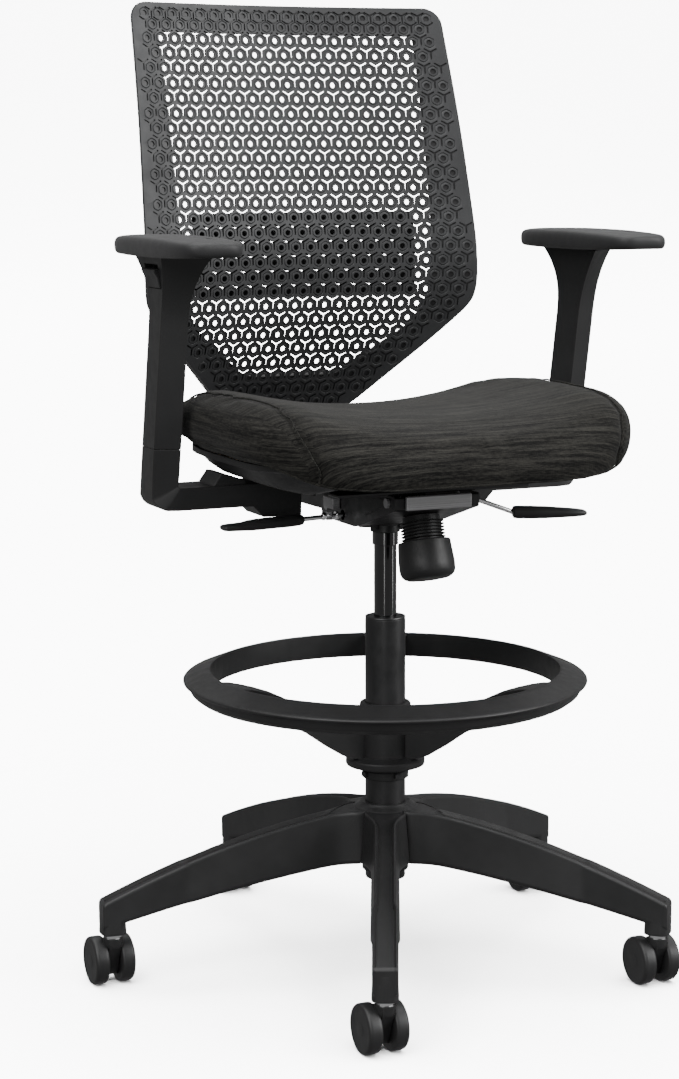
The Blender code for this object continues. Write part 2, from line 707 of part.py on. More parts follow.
def make_arm_button(side, parent, label):
    middle = arm_centre(ARM_BUTTON_Z)
    outer = ARM_X + ARM_HALF_WIDTH
    near, far = sorted((side * (outer - 0.0022), side * (outer + 0.0065)))
    shape = box((near, middle - 0.0120, 0.8470), (far, middle + 0.0120, 0.8725))
    soften(piece(f"arm_button_{label}", shape, "black_nylon", parent), 0.0012)


def make_arm_pad(side, parent, label):
    rings = []
    levels = [(PAD_BOTTOM, 0.90), (0.8880, 0.985), (0.8930, 1.0)]
    levels += [(0.8985, 0.955), (0.9020, 0.80), (0.9035, 0.45)]
    for height, scale in levels:
        half_x = PAD_HALF[0] - (1 - scale) * 0.045
        half_y = PAD_HALF[1] - (1 - scale) * 0.09
        ring = squared_ring(half_x, half_y, PAD_CENTRE_Y, height, 3.4, 24)
        rings.append([(side * ARM_X + x, y, z) for x, y, z in ring])
    piece(f"arm_pad_{label}", loft(rings), "black_pad", parent)


def make_arm(side, label):
    slide = pivot(f"arm_{label}_width_pivot", (side * ARM_X, arm_centre(ARM_BAR_Z), ARM_BAR_Z), "seat_pivot")
    lift = pivot(f"arm_{label}_height_pivot", (side * ARM_X, arm_centre(ARM_SHOULDER), ARM_SHOULDER), slide)
    button = (side * ARM_X, arm_centre(ARM_BUTTON_Z), ARM_BUTTON_Z)
    press = pivot(f"arm_{label}_button_pivot", button, lift)
    make_arm_bracket(side, slide, label)
    make_arm_sleeve(side, lift, label)
    make_arm_pad(side, lift, label)
    make_arm_button(side, press, label)


# ------------------------------------------------------------------ back


def back_surface(x, z):
    """Front of the back's skin: it bulges at the lumbar and wraps forward at its sides."""
    return smooth_curve(BACK_SPINE_LINE, z) - BACK_WRAP * x * x


def back_half_width(z):
    """Half width of the shield outline, with rounded corners at its top, waist and bottom."""
    side = 0.2325 - 0.0155 * max(0.0, (z - 0.85) / 0.315)
    slope = 0.096 + (z - 0.672)
    blend = 0.014
    width = (side + slope - math.hypot(side - slope, blend)) / 2
    corner, low_corner = 0.030, 0.018
    drop = z - (BACK_TOP - corner)
    if drop > 0:
        width -= corner - math.sqrt(max(corner**2 - drop**2, 0.0))
    drop = (BACK_BOTTOM + low_corner) - z
    if drop > 0:
        width -= 0.6 * (low_corner - math.sqrt(max(low_corner**2 - drop**2, 0.0)))
    return width


def curved_plate(levels, half_width, front, back, columns=8):
    """A plate that follows the back's surface between two depths behind it."""
    shape = bmesh.new()
    layers = []
    for depth in (front, back):
        rows = []
        for z in levels:
            half = half_width(z)
            across = [half * (2 * index / columns - 1) for index in range(columns + 1)]
            rows.append([shape.verts.new((x, back_surface(x, z) + depth, z)) for x in across])
        layers.append(rows)
    near, far = layers
    for row in range(len(levels) - 1):
        for column in range(columns):
            for rows in layers:
                lower, upper = rows[row], rows[row + 1]
                shape.faces.new((lower[column], lower[column + 1], upper[column + 1], upper[column]))
        for edge in (0, columns):
            shape.faces.new((near[row][edge], near[row + 1][edge], far[row + 1][edge], far[row][edge]))
    for row in (0, len(levels) - 1):
        front_row, back_row = near[row], far[row]
        for column in range(columns):
            after = column + 1
            shape.faces.new((front_row[column], front_row[after], back_row[after], back_row[column]))
    return close_up(shape)


def back_levels():
    levels = [BACK_BOTTOM, 0.663, 0.676, 0.71, 0.75, 0.79, 0.81, 0.835, 0.87, 0.92, 0.99]
    return levels + [1.08, 1.16, 1.178, 1.187, BACK_TOP]


def window_outline():
    right = [(0.055, 0.7125), (0.072, 0.7190), (0.147, 0.779), (0.1655, 0.815)]
    right += [(0.171, 0.924), (0.1725, 1.135), (0.162, 1.1455)]
    return right + [(-x, z) for x, z in reversed(right)]


def make_back():
    shell = curved_plate(back_levels(), back_half_width, 0.0, SHELL_THICK)
    piece("back_shell", shell, "shell_plastic", "recline_pivot")
    levels = back_levels()[1:-1]
    ring = curved_plate(levels, lambda z: back_half_width(z) - 0.002, FRAME_FRONT, FRAME_BACK)
    frame = piece("back_frame", ring, "black_nylon", "recline_pivot")
    combine(frame, [prism(window_outline(), 0.1, 0.5, lambda a, b, c: (a, c, b))], "DIFFERENCE")
    levels = [BAND_LOW + (BAND_HIGH - BAND_LOW) * step / 4 for step in range(5)]
    band = curved_plate(levels, lambda z: BAND_HALF_WIDTH, BAND_FRONT, BAND_BACK)
    piece("lumbar_band", band, "black_nylon", "lumbar_pivot")


def behind_frame(z, thickness):
    """Middle of the spine where it lies on the back frame."""
    return smooth_curve(BACK_SPINE_LINE, z) + FRAME_BACK + SPINE_GAP + thickness / 2


def make_spine():
    """The J-shaped bar from the recline shaft to the back frame."""
    stations = [(0.034, 0.5700, 0.049, 0.026), (0.068, 0.5700, 0.049, 0.026), (0.078, 0.5700, 0.034, 0.024)]
    stations += [(0.200, 0.5660, 0.030, 0.022), (0.275, 0.5760, 0.032, 0.020), (0.326, 0.6050, 0.044, 0.016)]
    stations += [(behind_frame(z, 0.012), z, half, 0.012) for z, half in ((0.655, 0.080), (0.675, 0.086))]
    stations += [(behind_frame(z, 0.012), z, half, 0.012) for z, half in ((0.695, 0.084), (0.710, 0.076))]
    rings = []
    for index, (y, z, half, thickness) in enumerate(stations):
        before, after = stations[max(index - 1, 0)], stations[min(index + 1, len(stations) - 1)]
        along = Vector((0, after[0] - before[0], after[1] - before[1])).normalized()
        if index < 3:
            along = Vector((0, 1, 0))
        up = Vector((0, -along.z, along.y)) * thickness / 2
        middle = Vector((0, y, z))
        across = Vector((half, 0, 0))
        low, high = middle - up, middle + up
        rings.append([low - across, low + across, high + across, high - across])
    spine = piece("back_spine", loft(rings), "black_nylon", "recline_pivot")
    reach = Vector((0.06, 0, 0))
    holes = [rod(RECLINE_PIVOT - reach, RECLINE_PIVOT + reach, SHAFT_RADIUS + FIT)]
    bolts = []
    for side in (-1, 1):
        face = Vector((side * BOLT_X, behind_frame(BOLT_Z, 0.012) + 0.0075, BOLT_Z))
        lean = Vector((0, 1, 0.55)).normalized()
        holes.append(rod(face - lean * 0.007, face + lean * 0.004, 0.0034, 10))
        bolts.append((side, face, lean))
    combine(spine, holes, "DIFFERENCE")
    for side, face, lean in bolts:
        label = "left" if side > 0 else "right"
        shank = rod(face - lean * 0.0062, face + lean * 0.003, 0.003, 10)
        bolt = piece(f"back_bolt_{label}", shank, "grey_steel", "recline_pivot")
        combine(bolt, [rod(face + lean * 0.0012, face + lean * 0.0055, 0.0065, 12)], "UNION")


# ------------------------------------------------------------------ the chair


def make_pivots():
    """One empty for each axis that something moves on."""
    pivot("chair_root", (0, 0, 0))
    root = bpy.data.objects["chair_root"]
    root.location = -BOX_CENTRE
    pivot("base_pivot", (0, 0, 0), root.name)
    pivot("ring_pivot", (0, 0, 0.25), root.name)
    pivot("collar_pivot", (0, 0, 0.242), "ring_pivot")
    pivot("lift_pivot", (0, 0, 0.438), root.name)
    pivot("swivel_pivot", (0, 0, 0.545), "lift_pivot")
    pivot("knob_pivot", KNOB_TOP, "swivel_pivot")
    pivot("height_lever_pivot", HEIGHT_LEVER, "swivel_pivot")
    pivot("tilt_lever_pivot", TILT_LEVER, "swivel_pivot")
    pivot("seat_pivot", SEAT_PIVOT, "swivel_pivot")
    pivot("recline_pivot", RECLINE_PIVOT, "swivel_pivot")
    pivot("lumbar_pivot", (0, back_surface(0, BAND_MIDDLE), BAND_MIDDLE), "recline_pivot")


def make_chair():
    clear_scene()
    make_pivots()
    make_star_base()
    for number in range(LEG_COUNT):
        make_caster(number)
    make_column()
    make_piston()
    make_foot_ring()
    make_housing()
    make_mechanism_plates()
    make_tension_adjuster()
    make_levers()
    make_seat_support()
    make_cushion()
    make_arm(1, "left")
    make_arm(-1, "right")
    make_back()
    make_spine()


make_chair()
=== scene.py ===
"""Drafting chair: the looks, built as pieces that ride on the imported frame.

Shapes are drawn about the column's axis, with -Y the way the sitter faces, +X the sitter's left and Z up,
and are shifted to the frame when they are kept. Lengths are in metres.
"""

import json
import math

import bmesh
import bpy
from bpy.props import FloatProperty, FloatVectorProperty, IntProperty
from mathutils import Matrix, Vector
from mathutils.bvhtree import BVHTree


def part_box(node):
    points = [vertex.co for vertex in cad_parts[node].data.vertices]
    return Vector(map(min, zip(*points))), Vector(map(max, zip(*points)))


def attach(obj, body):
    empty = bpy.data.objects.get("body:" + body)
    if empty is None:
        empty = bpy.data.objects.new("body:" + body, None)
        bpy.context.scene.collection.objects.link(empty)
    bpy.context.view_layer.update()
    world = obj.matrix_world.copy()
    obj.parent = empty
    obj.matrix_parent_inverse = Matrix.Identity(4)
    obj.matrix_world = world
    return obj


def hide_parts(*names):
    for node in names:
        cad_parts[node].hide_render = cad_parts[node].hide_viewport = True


bl_info = {
    "name": "Drafting Chair",
    "version": (1, 0, 0),
    "blender": (4, 5, 0),
    "location": "3D View > Sidebar > Chair",
    "description": "Builds the visible pieces of a drafting chair around its frame",
    "category": "Object",
}

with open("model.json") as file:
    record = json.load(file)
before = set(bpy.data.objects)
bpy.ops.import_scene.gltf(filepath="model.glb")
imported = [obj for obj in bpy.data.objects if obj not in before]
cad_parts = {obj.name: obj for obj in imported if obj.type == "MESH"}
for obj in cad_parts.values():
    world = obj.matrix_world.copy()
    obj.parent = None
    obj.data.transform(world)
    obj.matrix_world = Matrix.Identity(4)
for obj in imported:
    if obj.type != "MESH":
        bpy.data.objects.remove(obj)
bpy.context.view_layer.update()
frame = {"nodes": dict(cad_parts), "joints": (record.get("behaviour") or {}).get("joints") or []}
JOINTS = {joint["name"]: joint for joint in frame["joints"]}


def joint_place(name):
    """Where a joint's axis is, about the column's axis."""
    return Vector(JOINTS[name]["pos_m"]) - AXIS


AXIS = Vector((*JOINTS["seat_swivel"]["pos_m"][:2], 0.0))
SIDES = ((1, "left"), (-1, "right"))
LEG_COUNT = 5
LEG_START = math.radians(-115)
SMOOTH_ANGLE = math.radians(38)

# ------------------------------------------------------------------ what a user would change


def length(label, text, size):
    return FloatProperty(name=label, description=text, default=size, unit="LENGTH", precision=4)


def colour(label, text, shade):
    return FloatVectorProperty(
        name=label, description=text, default=shade, subtype="COLOR", size=3, min=0.0, max=1.0
    )


class ChairFinishes(bpy.types.PropertyGroup):
    nylon: colour("Nylon", "Base, arms, ring and hoods", (0.0125, 0.0125, 0.0128))
    skin: colour("Back skin", "Moulded skin of the back", (0.027, 0.0275, 0.0285))
    pad: colour("Arm pad", "Soft skin of the arm pads", (0.012, 0.012, 0.0125))
    gloss: colour("Piston", "Glossy piston and its collar", (0.004, 0.004, 0.0045))
    steel: colour("Black steel", "Powder coated plates and tube", (0.0065, 0.0065, 0.007))
    grey: colour("Grey steel", "Bare plates and shafts", (0.34, 0.34, 0.345))
    chrome: colour("Chrome", "Lever rods and caster stems", (0.80, 0.80, 0.81))
    spring: colour("Spring steel", "Springs, clips and screws", (0.20, 0.20, 0.21))
    cloth: colour("Seat cloth", "Dark yarn of the seat", (0.0026, 0.0025, 0.0023))
    cloth_light: colour("Light yarn", "Streaks in the seat cloth", (0.028, 0.027, 0.0235))
    ply: colour("Plywood", "Board under the cushion", (0.42, 0.30, 0.18))


class ChairBackSizes(bpy.types.PropertyGroup):
    pitch: length("Pitch", "Distance between holes in a row", 0.0208)
    row_gap: length("Row gap", "Height from one row of holes to the next", 0.0189)
    top_row: length("Top open row", "Height of the highest row that shows light", 1.1447)
    hole_radius: length("Hole radius", "Radius of each round hole", 0.0036)
    slot_width: length("Slot width", "Width of the three-armed slots", 0.0020)
    slot_reach: length("Slot reach", "From a slot's middle to the end of an arm", 0.0096)
    skin: length("Skin thickness", "Thickness of the perforated skin over the window", 0.0038)
    wrap: FloatProperty(name="Wrap", description="How far the sides come forward, per metre", default=0.8)


class ChairSeatSizes(bpy.types.PropertyGroup):
    half_width: length("Half width", "Half of the cushion's width", 0.2525)
    half_depth: length("Half depth", "Half of the cushion's depth", 0.221)
    centre_y: length("Centre", "Middle of the cushion, from the column", -0.045)
    crest: length("Crest", "Height of the cushion's raised sides", 0.7205)
    dish: length("Dish", "How far the middle lies under the crest", 0.0235)
    swell: length("Swell", "The most that the padding may rise", 0.0050)
    voxel: length("Voxel", "Cell size of the padding's mesh", 0.0042)


class ChairBaseSizes(bpy.types.PropertyGroup):
    leg_half: length("Leg half width", "Half of a leg's width", 0.0150)
    socket_radius: length("Socket place", "From the column to a caster's stem", 0.348)
    wheel_radius: length("Wheel radius", "Radius of the casters' wheels", 0.0295)
    trail: length("Trail", "From a caster's stem to its axle", 0.0145)
    wheel_steps: IntProperty(name="Wheel steps", description="Facets round a wheel", default=44, min=16)


class ChairArmSizes(bpy.types.PropertyGroup):
    middle_x: length("Middle", "From the column to an arm's upright", 0.274)
    half_width: length("Half width", "Half of an upright's width", 0.0145)
    lean: FloatProperty(name="Lean", description="Forward lean per metre of height", default=-0.196)
    pad_half_x: length("Pad half width", "Half of a pad's width", 0.0425)
    pad_half_y: length("Pad half length", "Half of a pad's length", 0.135)


# ------------------------------------------------------------------ finishes


def shader_of(name, shade, roughness, metallic=0.0):
    """A new material with its shader's own sockets set."""
    material = bpy.data.materials.new(name)
    material.use_nodes = True
    shader = material.node_tree.nodes["Principled BSDF"]
    shader.inputs["Base Color"].default_value = (*shade, 1.0)
    shader.inputs["Roughness"].default_value = roughness
    shader.inputs["Metallic"].default_value = metallic
    return material, material.node_tree, shader


def placed(tree, output="Object", stretch=(1.0, 1.0, 1.0)):
    """Texture coordinates, stretched along their axes."""
    source = tree.nodes.new("ShaderNodeTexCoord")
    mapping = tree.nodes.new("ShaderNodeMapping")
    mapping.inputs["Scale"].default_value = stretch
    tree.links.new(source.outputs[output], mapping.inputs["Vector"])
    return mapping.outputs["Vector"]


def noise(tree, vector, scale, detail=3.0, roughness=0.55):
    node = tree.nodes.new("ShaderNodeTexNoise")
    node.inputs["Scale"].default_value = scale
    node.inputs["Detail"].default_value = detail
    node.inputs["Roughness"].default_value = roughness
    tree.links.new(vector, node.inputs["Vector"])
    return node.outputs["Fac"]


def spread(tree, value, low, high, target):
    """Maps a 0 to 1 texture to a range and feeds it to a socket."""
    node = tree.nodes.new("ShaderNodeMapRange")
    node.inputs["From Min"].default_value = 0.3
    node.inputs["From Max"].default_value = 0.7
    node.inputs["To Min"].default_value = low
    node.inputs["To Max"].default_value = high
    tree.links.new(value, node.inputs["Value"])
    tree.links.new(node.outputs["Result"], target)


def shades(tree, value, dark, light, target, low=0.35, high=0.65):
    """Runs a texture between two colours."""
    ramp = tree.nodes.new("ShaderNodeValToRGB")
    ramp.color_ramp.elements[0].position = low
    ramp.color_ramp.elements[1].position = high
    ramp.color_ramp.elements[0].color = (*dark, 1.0)
    ramp.color_ramp.elements[1].color = (*light, 1.0)
    tree.links.new(value, ramp.inputs["Fac"])
    tree.links.new(ramp.outputs["Color"], target)


def bumped(tree, shader, value, depth, strength=1.0, under=None):
    """Adds relief of a depth in metres, over the relief under it."""
    node = tree.nodes.new("ShaderNodeBump")
    node.inputs["Strength"].default_value = strength
    node.inputs["Distance"].default_value = depth
    tree.links.new(value, node.inputs["Height"])
    if under:
        tree.links.new(under, node.inputs["Normal"])
    tree.links.new(node.outputs["Normal"], shader.inputs["Normal"])
    return node.outputs["Normal"]


def scaled(shade, factor):
    return [channel * factor for channel in shade]


def moulded(name, shade, roughness, grain=1400.0, depth=0.00006, sheen=0.0):
    """Moulded plastic: fine spark grain, faint flow mottling and an uneven shine."""
    material, tree, shader = shader_of(name, shade, roughness)
    place = placed(tree)
    flow = noise(tree, place, 9.0, 4.0)
    shades(tree, flow, scaled(shade, 0.86), scaled(shade, 1.16), shader.inputs["Base Color"])
    spread(tree, noise(tree, place, 60.0), roughness - 0.05, roughness + 0.06, shader.inputs["Roughness"])
    waves = bumped(tree, shader, noise(tree, place, 26.0, 2.0), 0.0004, 0.25)
    bumped(tree, shader, noise(tree, place, grain, 2.0, 0.7), depth, 0.8, waves)
    shader.inputs["Specular IOR Level"].default_value = 0.32
    shader.inputs["Sheen Weight"].default_value = sheen
    shader.inputs["Sheen Roughness"].default_value = 0.5
    return material


def coated(name, shade, roughness, metallic, orange_peel=420.0, coat=0.0):
    """Coated or polished metal with a faint orange peel."""
    material, tree, shader = shader_of(name, shade, roughness, metallic)
    place = placed(tree)
    shades(
        tree, noise(tree, place, 14.0), scaled(shade, 0.9), scaled(shade, 1.1),
        shader.inputs["Base Color"]
    )
    spread(tree, noise(tree, place, 90.0), roughness * 0.85, roughness * 1.2, shader.inputs["Roughness"])
    bumped(tree, shader, noise(tree, place, orange_peel, 2.0), 0.00005, 0.5)
    shader.inputs["Coat Weight"].default_value = coat
    shader.inputs["Coat Roughness"].default_value = 0.08
    return material


def brushed(name, shade, roughness, along=(6.0, 900.0, 900.0)):
    """Metal with fine lines left by rolling or brushing."""
    material, tree, shader = shader_of(name, shade, roughness, 0.6)
    lines = noise(tree, placed(tree, stretch=along), 1.0, 3.0)
    shades(tree, lines, scaled(shade, 0.82), scaled(shade, 1.15), shader.inputs["Base Color"])
    spread(tree, lines, roughness - 0.08, roughness + 0.08, shader.inputs["Roughness"])
    bumped(tree, shader, lines, 0.00004, 0.5)
    return material


def woven(name, dark, light):
    """Heathered cloth: streaks along the weft over a fine weave, on the piece's own UV map in metres."""
    material, tree, shader = shader_of(name, dark, 0.9)
    streak = noise(tree, placed(tree, "UV", (22.0, 420.0, 1.0)), 1.0, 4.0, 0.65)
    dash = noise(tree, placed(tree, "UV", (150.0, 760.0, 1.0)), 1.0, 2.0, 0.6)
    broad = noise(tree, placed(tree, "UV", (9.0, 170.0, 1.0)), 1.0, 2.0, 0.5)
    cloud = noise(tree, placed(tree, "UV", (5.0, 12.0, 1.0)), 1.0, 2.0)
    total = None
    for value, share in ((dash, 0.30), (streak, 0.40), (broad, 0.30)):
        mix = tree.nodes.new("ShaderNodeMath")
        mix.operation = "MULTIPLY_ADD"
        mix.inputs[1].default_value = share
        mix.inputs[2].default_value = 0.0
        tree.links.new(value, mix.inputs[0])
        if total:
            tree.links.new(total, mix.inputs[2])
        total = mix.outputs["Value"]
    shades(tree, total, dark, light, shader.inputs["Base Color"], 0.44, 0.62)
    spread(tree, cloud, 0.84, 0.96, shader.inputs["Roughness"])
    weft = bumped(tree, shader, total, 0.0008, 0.6)
    for direction, threads in (("X", 620.0), ("Y", 780.0)):
        wave = tree.nodes.new("ShaderNodeTexWave")
        wave.bands_direction = direction
        wave.inputs["Scale"].default_value = threads / math.tau
        wave.inputs["Distortion"].default_value = 1.2
        wave.inputs["Detail Scale"].default_value = 2.0
        tree.links.new(placed(tree, "UV"), wave.inputs["Vector"])
        weft = bumped(tree, shader, wave.outputs["Fac"], 0.00018, 0.4, weft)
    shader.inputs["Sheen Weight"].default_value = 0.05
    shader.inputs["Sheen Roughness"].default_value = 0.4
    shader.inputs["Specular IOR Level"].default_value = 0.12
    return material


def plywood(name, shade):
    material, tree, shader = shader_of(name, shade, 0.7)
    grain = noise(tree, placed(tree, stretch=(8.0, 90.0, 400.0)), 1.0, 5.0)
    shades(tree, grain, scaled(shade, 0.7), scaled(shade, 1.1), shader.inputs["Base Color"])
    bumped(tree, shader, grain, 0.0002, 0.4)
    return material


def make_finishes(finishes):
    """Every finish, under the name of its slot in the record."""
    return {
        "black_nylon": moulded("nylon_spark_grain", finishes.nylon, 0.46),
        "black_pad": moulded("pad_soft_skin", finishes.pad, 0.56, 2200.0, 0.00004, 0.06),
        "shell_plastic": moulded("skin_matte", finishes.skin, 0.52, 1800.0, 0.00004),
        "black_gloss": coated("piston_gloss", finishes.gloss, 0.16, 0.0, 120.0, 0.6),
        "black_steel": coated("steel_powder_coat", finishes.steel, 0.40, 0.0),
        "grey_steel": brushed("steel_rolled", finishes.grey, 0.42),
        "chrome": coated("chrome_rod", finishes.chrome, 0.16, 1.0, 200.0),
        "spring_steel": coated("spring_steel_oiled", finishes.spring, 0.35, 1.0),
        "charcoal_fabric": woven("cloth_heathered", finishes.cloth, finishes.cloth_light),
        "plywood": plywood("ply_board", finishes.ply),
    }


FINISH = {}

# ------------------------------------------------------------------ shapes


def close_up(shape):
    bmesh.ops.remove_doubles(shape, verts=shape.verts, dist=1e-6)
    bmesh.ops.recalc_face_normals(shape, faces=shape.faces)
    return shape


def moved(shape, matrix):
    bmesh.ops.transform(shape, verts=shape.verts, matrix=matrix)
    return shape


def drawn_out(shape, corners, points):
    """Extrudes a closed loop of corners and sets the new ones at points."""
    edges = [shape.edges.get(pair) for pair in zip(corners, corners[1:] + corners[:1])]
    made = bmesh.ops.extrude_edge_only(shape, edges=edges)["geom"]
    fresh = {item for item in made if isinstance(item, bmesh.types.BMVert)}
    after = []
    for corner, point in zip(corners, points):
        twin = next(
            edge.other_vert(corner) for edge in corner.link_edges if edge.other_vert(corner) in fresh
        )
        twin.co = point
        after.append(twin)
    return after


def loft(rings, closed=False):
    """Draws a ring of points out through the others. It has caps unless it closes on itself."""
    shape = bmesh.new()
    first = [shape.verts.new(point) for point in rings[0]]
    for pair in zip(first, first[1:] + first[:1]):
        shape.edges.new(pair)
    corners = first
    for ring in rings[1:]:
        corners = drawn_out(shape, corners, ring)
    if closed:
        ends = [edge for edge in shape.edges if len(edge.link_faces) == 1]
        bmesh.ops.bridge_loops(shape, edges=ends)
    else:
        shape.faces.new(first)
        shape.faces.new(corners)
    return close_up(shape)


def turned(profile, steps=64):
    """A profile of (radius, height) turned about Z; it closes on itself when it stays off the axis."""
    shape = bmesh.new()
    points = [shape.verts.new((radius, 0, height)) for radius, height in profile]
    for pair in zip(points, points[1:]):
        shape.edges.new(pair)
    if min(radius for radius, _ in profile) > 0:
        shape.edges.new((points[-1], points[0]))
    bmesh.ops.spin(
        shape, geom=shape.verts[:] + shape.edges[:], cent=(0, 0, 0), axis=(0, 0, 1),
        angle=math.tau, steps=steps, use_merge=True,
    )
    return close_up(shape)


def rounded(profile, radius, steps=3):
    """A profile with its inner corners rounded, as points along quadratic curves."""
    points = [Vector(point) for point in profile]
    result = [points[0]]
    for before, corner, after in zip(points, points[1:], points[2:]):
        reach = min(radius, (before - corner).length * 0.45, (after - corner).length * 0.45)
        start = corner + (before - corner).normalized() * reach
        end = corner + (after - corner).normalized() * reach
        for step in range(steps + 1):
            t = step / steps
            result.append((1 - t) ** 2 * start + 2 * t * (1 - t) * corner + t * t * end)
    result.append(points[-1])
    return [tuple(point) for point in result]


def rounded_loop(outline, radius, steps=3):
    """A closed outline with all its corners rounded."""
    closed = rounded([*outline[-1:], *outline, *outline[:1]], radius, steps)
    return closed[1:-1]


def prism(outline, low, high, place):
    """A flat outline pushed from low to high; place(a, b, c) turns it into 3D."""
    return loft([[place(a, b, level) for a, b in outline] for level in (low, high)])


def box(low, high):
    outline = [(low[0], low[1]), (high[0], low[1]), (high[0], high[1]), (low[0], high[1])]
    return prism(outline, low[2], high[2], lambda a, b, c: (a, b, c))


def side_view(a, b, c):
    return (c, a, b)


def rod(start, end, radius, sides=24, chamfer=0.0006):
    """A round bar between two points, with its ends broken."""
    start, end = Vector(start), Vector(end)
    along = end - start
    turn = along.to_track_quat("Z", "Y").to_matrix().to_4x4()
    tall = along.length
    profile = [
        (0, 0), (radius - chamfer, 0), (radius, chamfer), (radius, tall - chamfer),
        (radius - chamfer, tall)
    ]
    return moved(turned(profile + [(0, tall)], sides), Matrix.Translation(start) @ turn)


def squared_ring(half_x, half_y, middle, squareness, count):
    """A ring of points between an ellipse and a rectangle."""
    ring = []
    for index in range(count):
        turn = math.tau * (index + 0.5) / count
        cosine, sine = math.cos(turn), math.sin(turn)
        x = half_x * math.copysign(abs(cosine) ** (2 / squareness), cosine)
        y = half_y * math.copysign(abs(sine) ** (2 / squareness), sine)
        ring.append(Vector(middle) + Vector((x, y, 0)))
    return ring


def smooth_curve(points, at):
    """A value on a smooth curve through sorted (position, value) points."""
    last = len(points) - 2
    index = 0
    while index < last and at > points[index + 1][0]:
        index += 1
    (x1, y1), (x2, y2) = points[index], points[index + 1]
    x0, y0 = points[max(index - 1, 0)]
    x3, y3 = points[min(index + 2, last + 1)]
    slope_in = (y2 - y0) / (x2 - x0) * (x2 - x1)
    slope_out = (y3 - y1) / (x3 - x1) * (x2 - x1)
    t = (at - x1) / (x2 - x1)
    return (
        (2 * t**3 - 3 * t**2 + 1) * y1 + (t**3 - 2 * t**2 + t) * slope_in
        + (3 * t**2 - 2 * t**3) * y2 + (t**3 - t**2) * slope_out
    )


def tube_along(points, radius, sides=10, closed=False):
    """A thin round tube through points."""
    rings = []
    count = len(points)
    for index, point in enumerate(points):
        before = points[index - 1] if index or closed else points[0]
        after = points[(index + 1) % count] if index + 1 < count or closed else points[-1]
        along = (Vector(after) - Vector(before)).normalized()
        across = along.cross(Vector((0, 0, 1)) if abs(along.z) < 0.9 else Vector((1, 0, 0))).normalized()
        rise = across.cross(along).normalized()
        ring = []
        for side in range(sides):
            turn = math.tau * side / sides
            ring.append(Vector(point) + radius * (math.cos(turn) * across + math.sin(turn) * rise))
        rings.append(ring)
    return loft(rings, closed)


def loose_object(shape, name="helper"):
    mesh = bpy.data.meshes.new(name)
    close_up(shape).to_mesh(mesh)
    shape.free()
    item = bpy.data.objects.new(name, mesh)
    bpy.context.scene.collection.objects.link(item)
    return item


def evaluated(item):
    """The shape that an object's modifiers make, and the object gone."""
    shape = bmesh.new()
    graph = bpy.context.evaluated_depsgraph_get()
    shape.from_object(item, graph)
    bpy.data.objects.remove(item)
    return shape


def combined(shape, others, operation):
    """The union or the difference of a shape and others."""
    item = loose_object(shape)
    helpers = [loose_object(other) for other in others]
    for helper in helpers:
        modifier = item.modifiers.new("Combine", "BOOLEAN")
        modifier.operation = operation
        modifier.object = helper
        modifier.solver = "EXACT"
    result = evaluated(item)
    for helper in helpers:
        bpy.data.objects.remove(helper)
    return result


def keep(name, shape, slot, body, nodes=(), bevel=0.0, segments=3, levels=0):
    """Makes a finished piece of a shape, which rides on a body and stands for CAD nodes."""
    close_up(shape)
    bmesh.ops.translate(shape, verts=shape.verts, vec=AXIS)
    mesh = bpy.data.meshes.new(name)
    shape.to_mesh(mesh)
    shape.free()
    mesh.materials.append(FINISH[slot])
    mesh.shade_smooth()
    mesh.set_sharp_from_angle(angle=SMOOTH_ANGLE)
    item = bpy.data.objects.new(name, mesh)
    bpy.context.scene.collection.objects.link(item)
    if bevel:
        modifier = item.modifiers.new("Rounded edges", "BEVEL")
        modifier.width = bevel
        modifier.segments = segments
        modifier.limit_method = "ANGLE"
        modifier.angle_limit = math.radians(32)
        modifier.harden_normals = True
    if levels:
        modifier = item.modifiers.new("Smooth", "SUBSURF")
        modifier.levels = levels
        modifier.render_levels = levels
    else:
        modifier = item.modifiers.new("Flat faces", "WEIGHTED_NORMAL")
        modifier.keep_sharp = True
    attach(item, body)
    if nodes:
        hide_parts(*nodes)
    return item


# ------------------------------------------------------------------ star base and casters


def leg_top(radius):
    return 0.1995 - 0.093 * (radius / 0.36) ** 1.7


def leg_bottom(radius):
    return 0.134 - 0.053 * (radius / 0.33) ** 1.5


LEG_END = 0.3625


def leg_section(radius, half):
    """Half of a leg's section, bottom to middle: a wall that leans in to a narrow rim over a channel."""
    flare = 0.0125 * max(0.0, 1 - max(radius - 0.043, 0.0) / 0.040) ** 2
    near_end = min(1.0, max(0.0, (radius - (LEG_END - 0.004)) / 0.004))
    half = half + flare - 0.0020 * near_end**2
    top = leg_top(radius) - 0.004 * (1 - math.sqrt(1 - near_end**2))
    bottom = leg_bottom(radius)
    fade = min(1.0, max(0.0, (radius - 0.055) / 0.03), max(0.0, (0.3585 - radius) / 0.0030))
    channel = 0.0050 * math.sin(fade * math.pi / 2)
    lean = min(1.0, max(0.0, (0.262 - radius) / 0.010))
    wide = half + 0.0023 * lean
    half = half - 0.0022 * lean
    return [
        (0, bottom), (wide - 0.0045, bottom), (wide - 0.0016, bottom + 0.0012), (wide, bottom + 0.0042),
        (wide, bottom + 0.0062), (half, top - 0.0040), (half, top - 0.0026),
        (half - 0.0007, top - 0.0009), (half - 0.0018, top), (half - 0.0026, top),
        (half - 0.0034, top - 0.0010 - channel * 0.3), (half - 0.0044, top - 0.0006 - channel),
        (0, top - 0.0006 - channel),
    ]


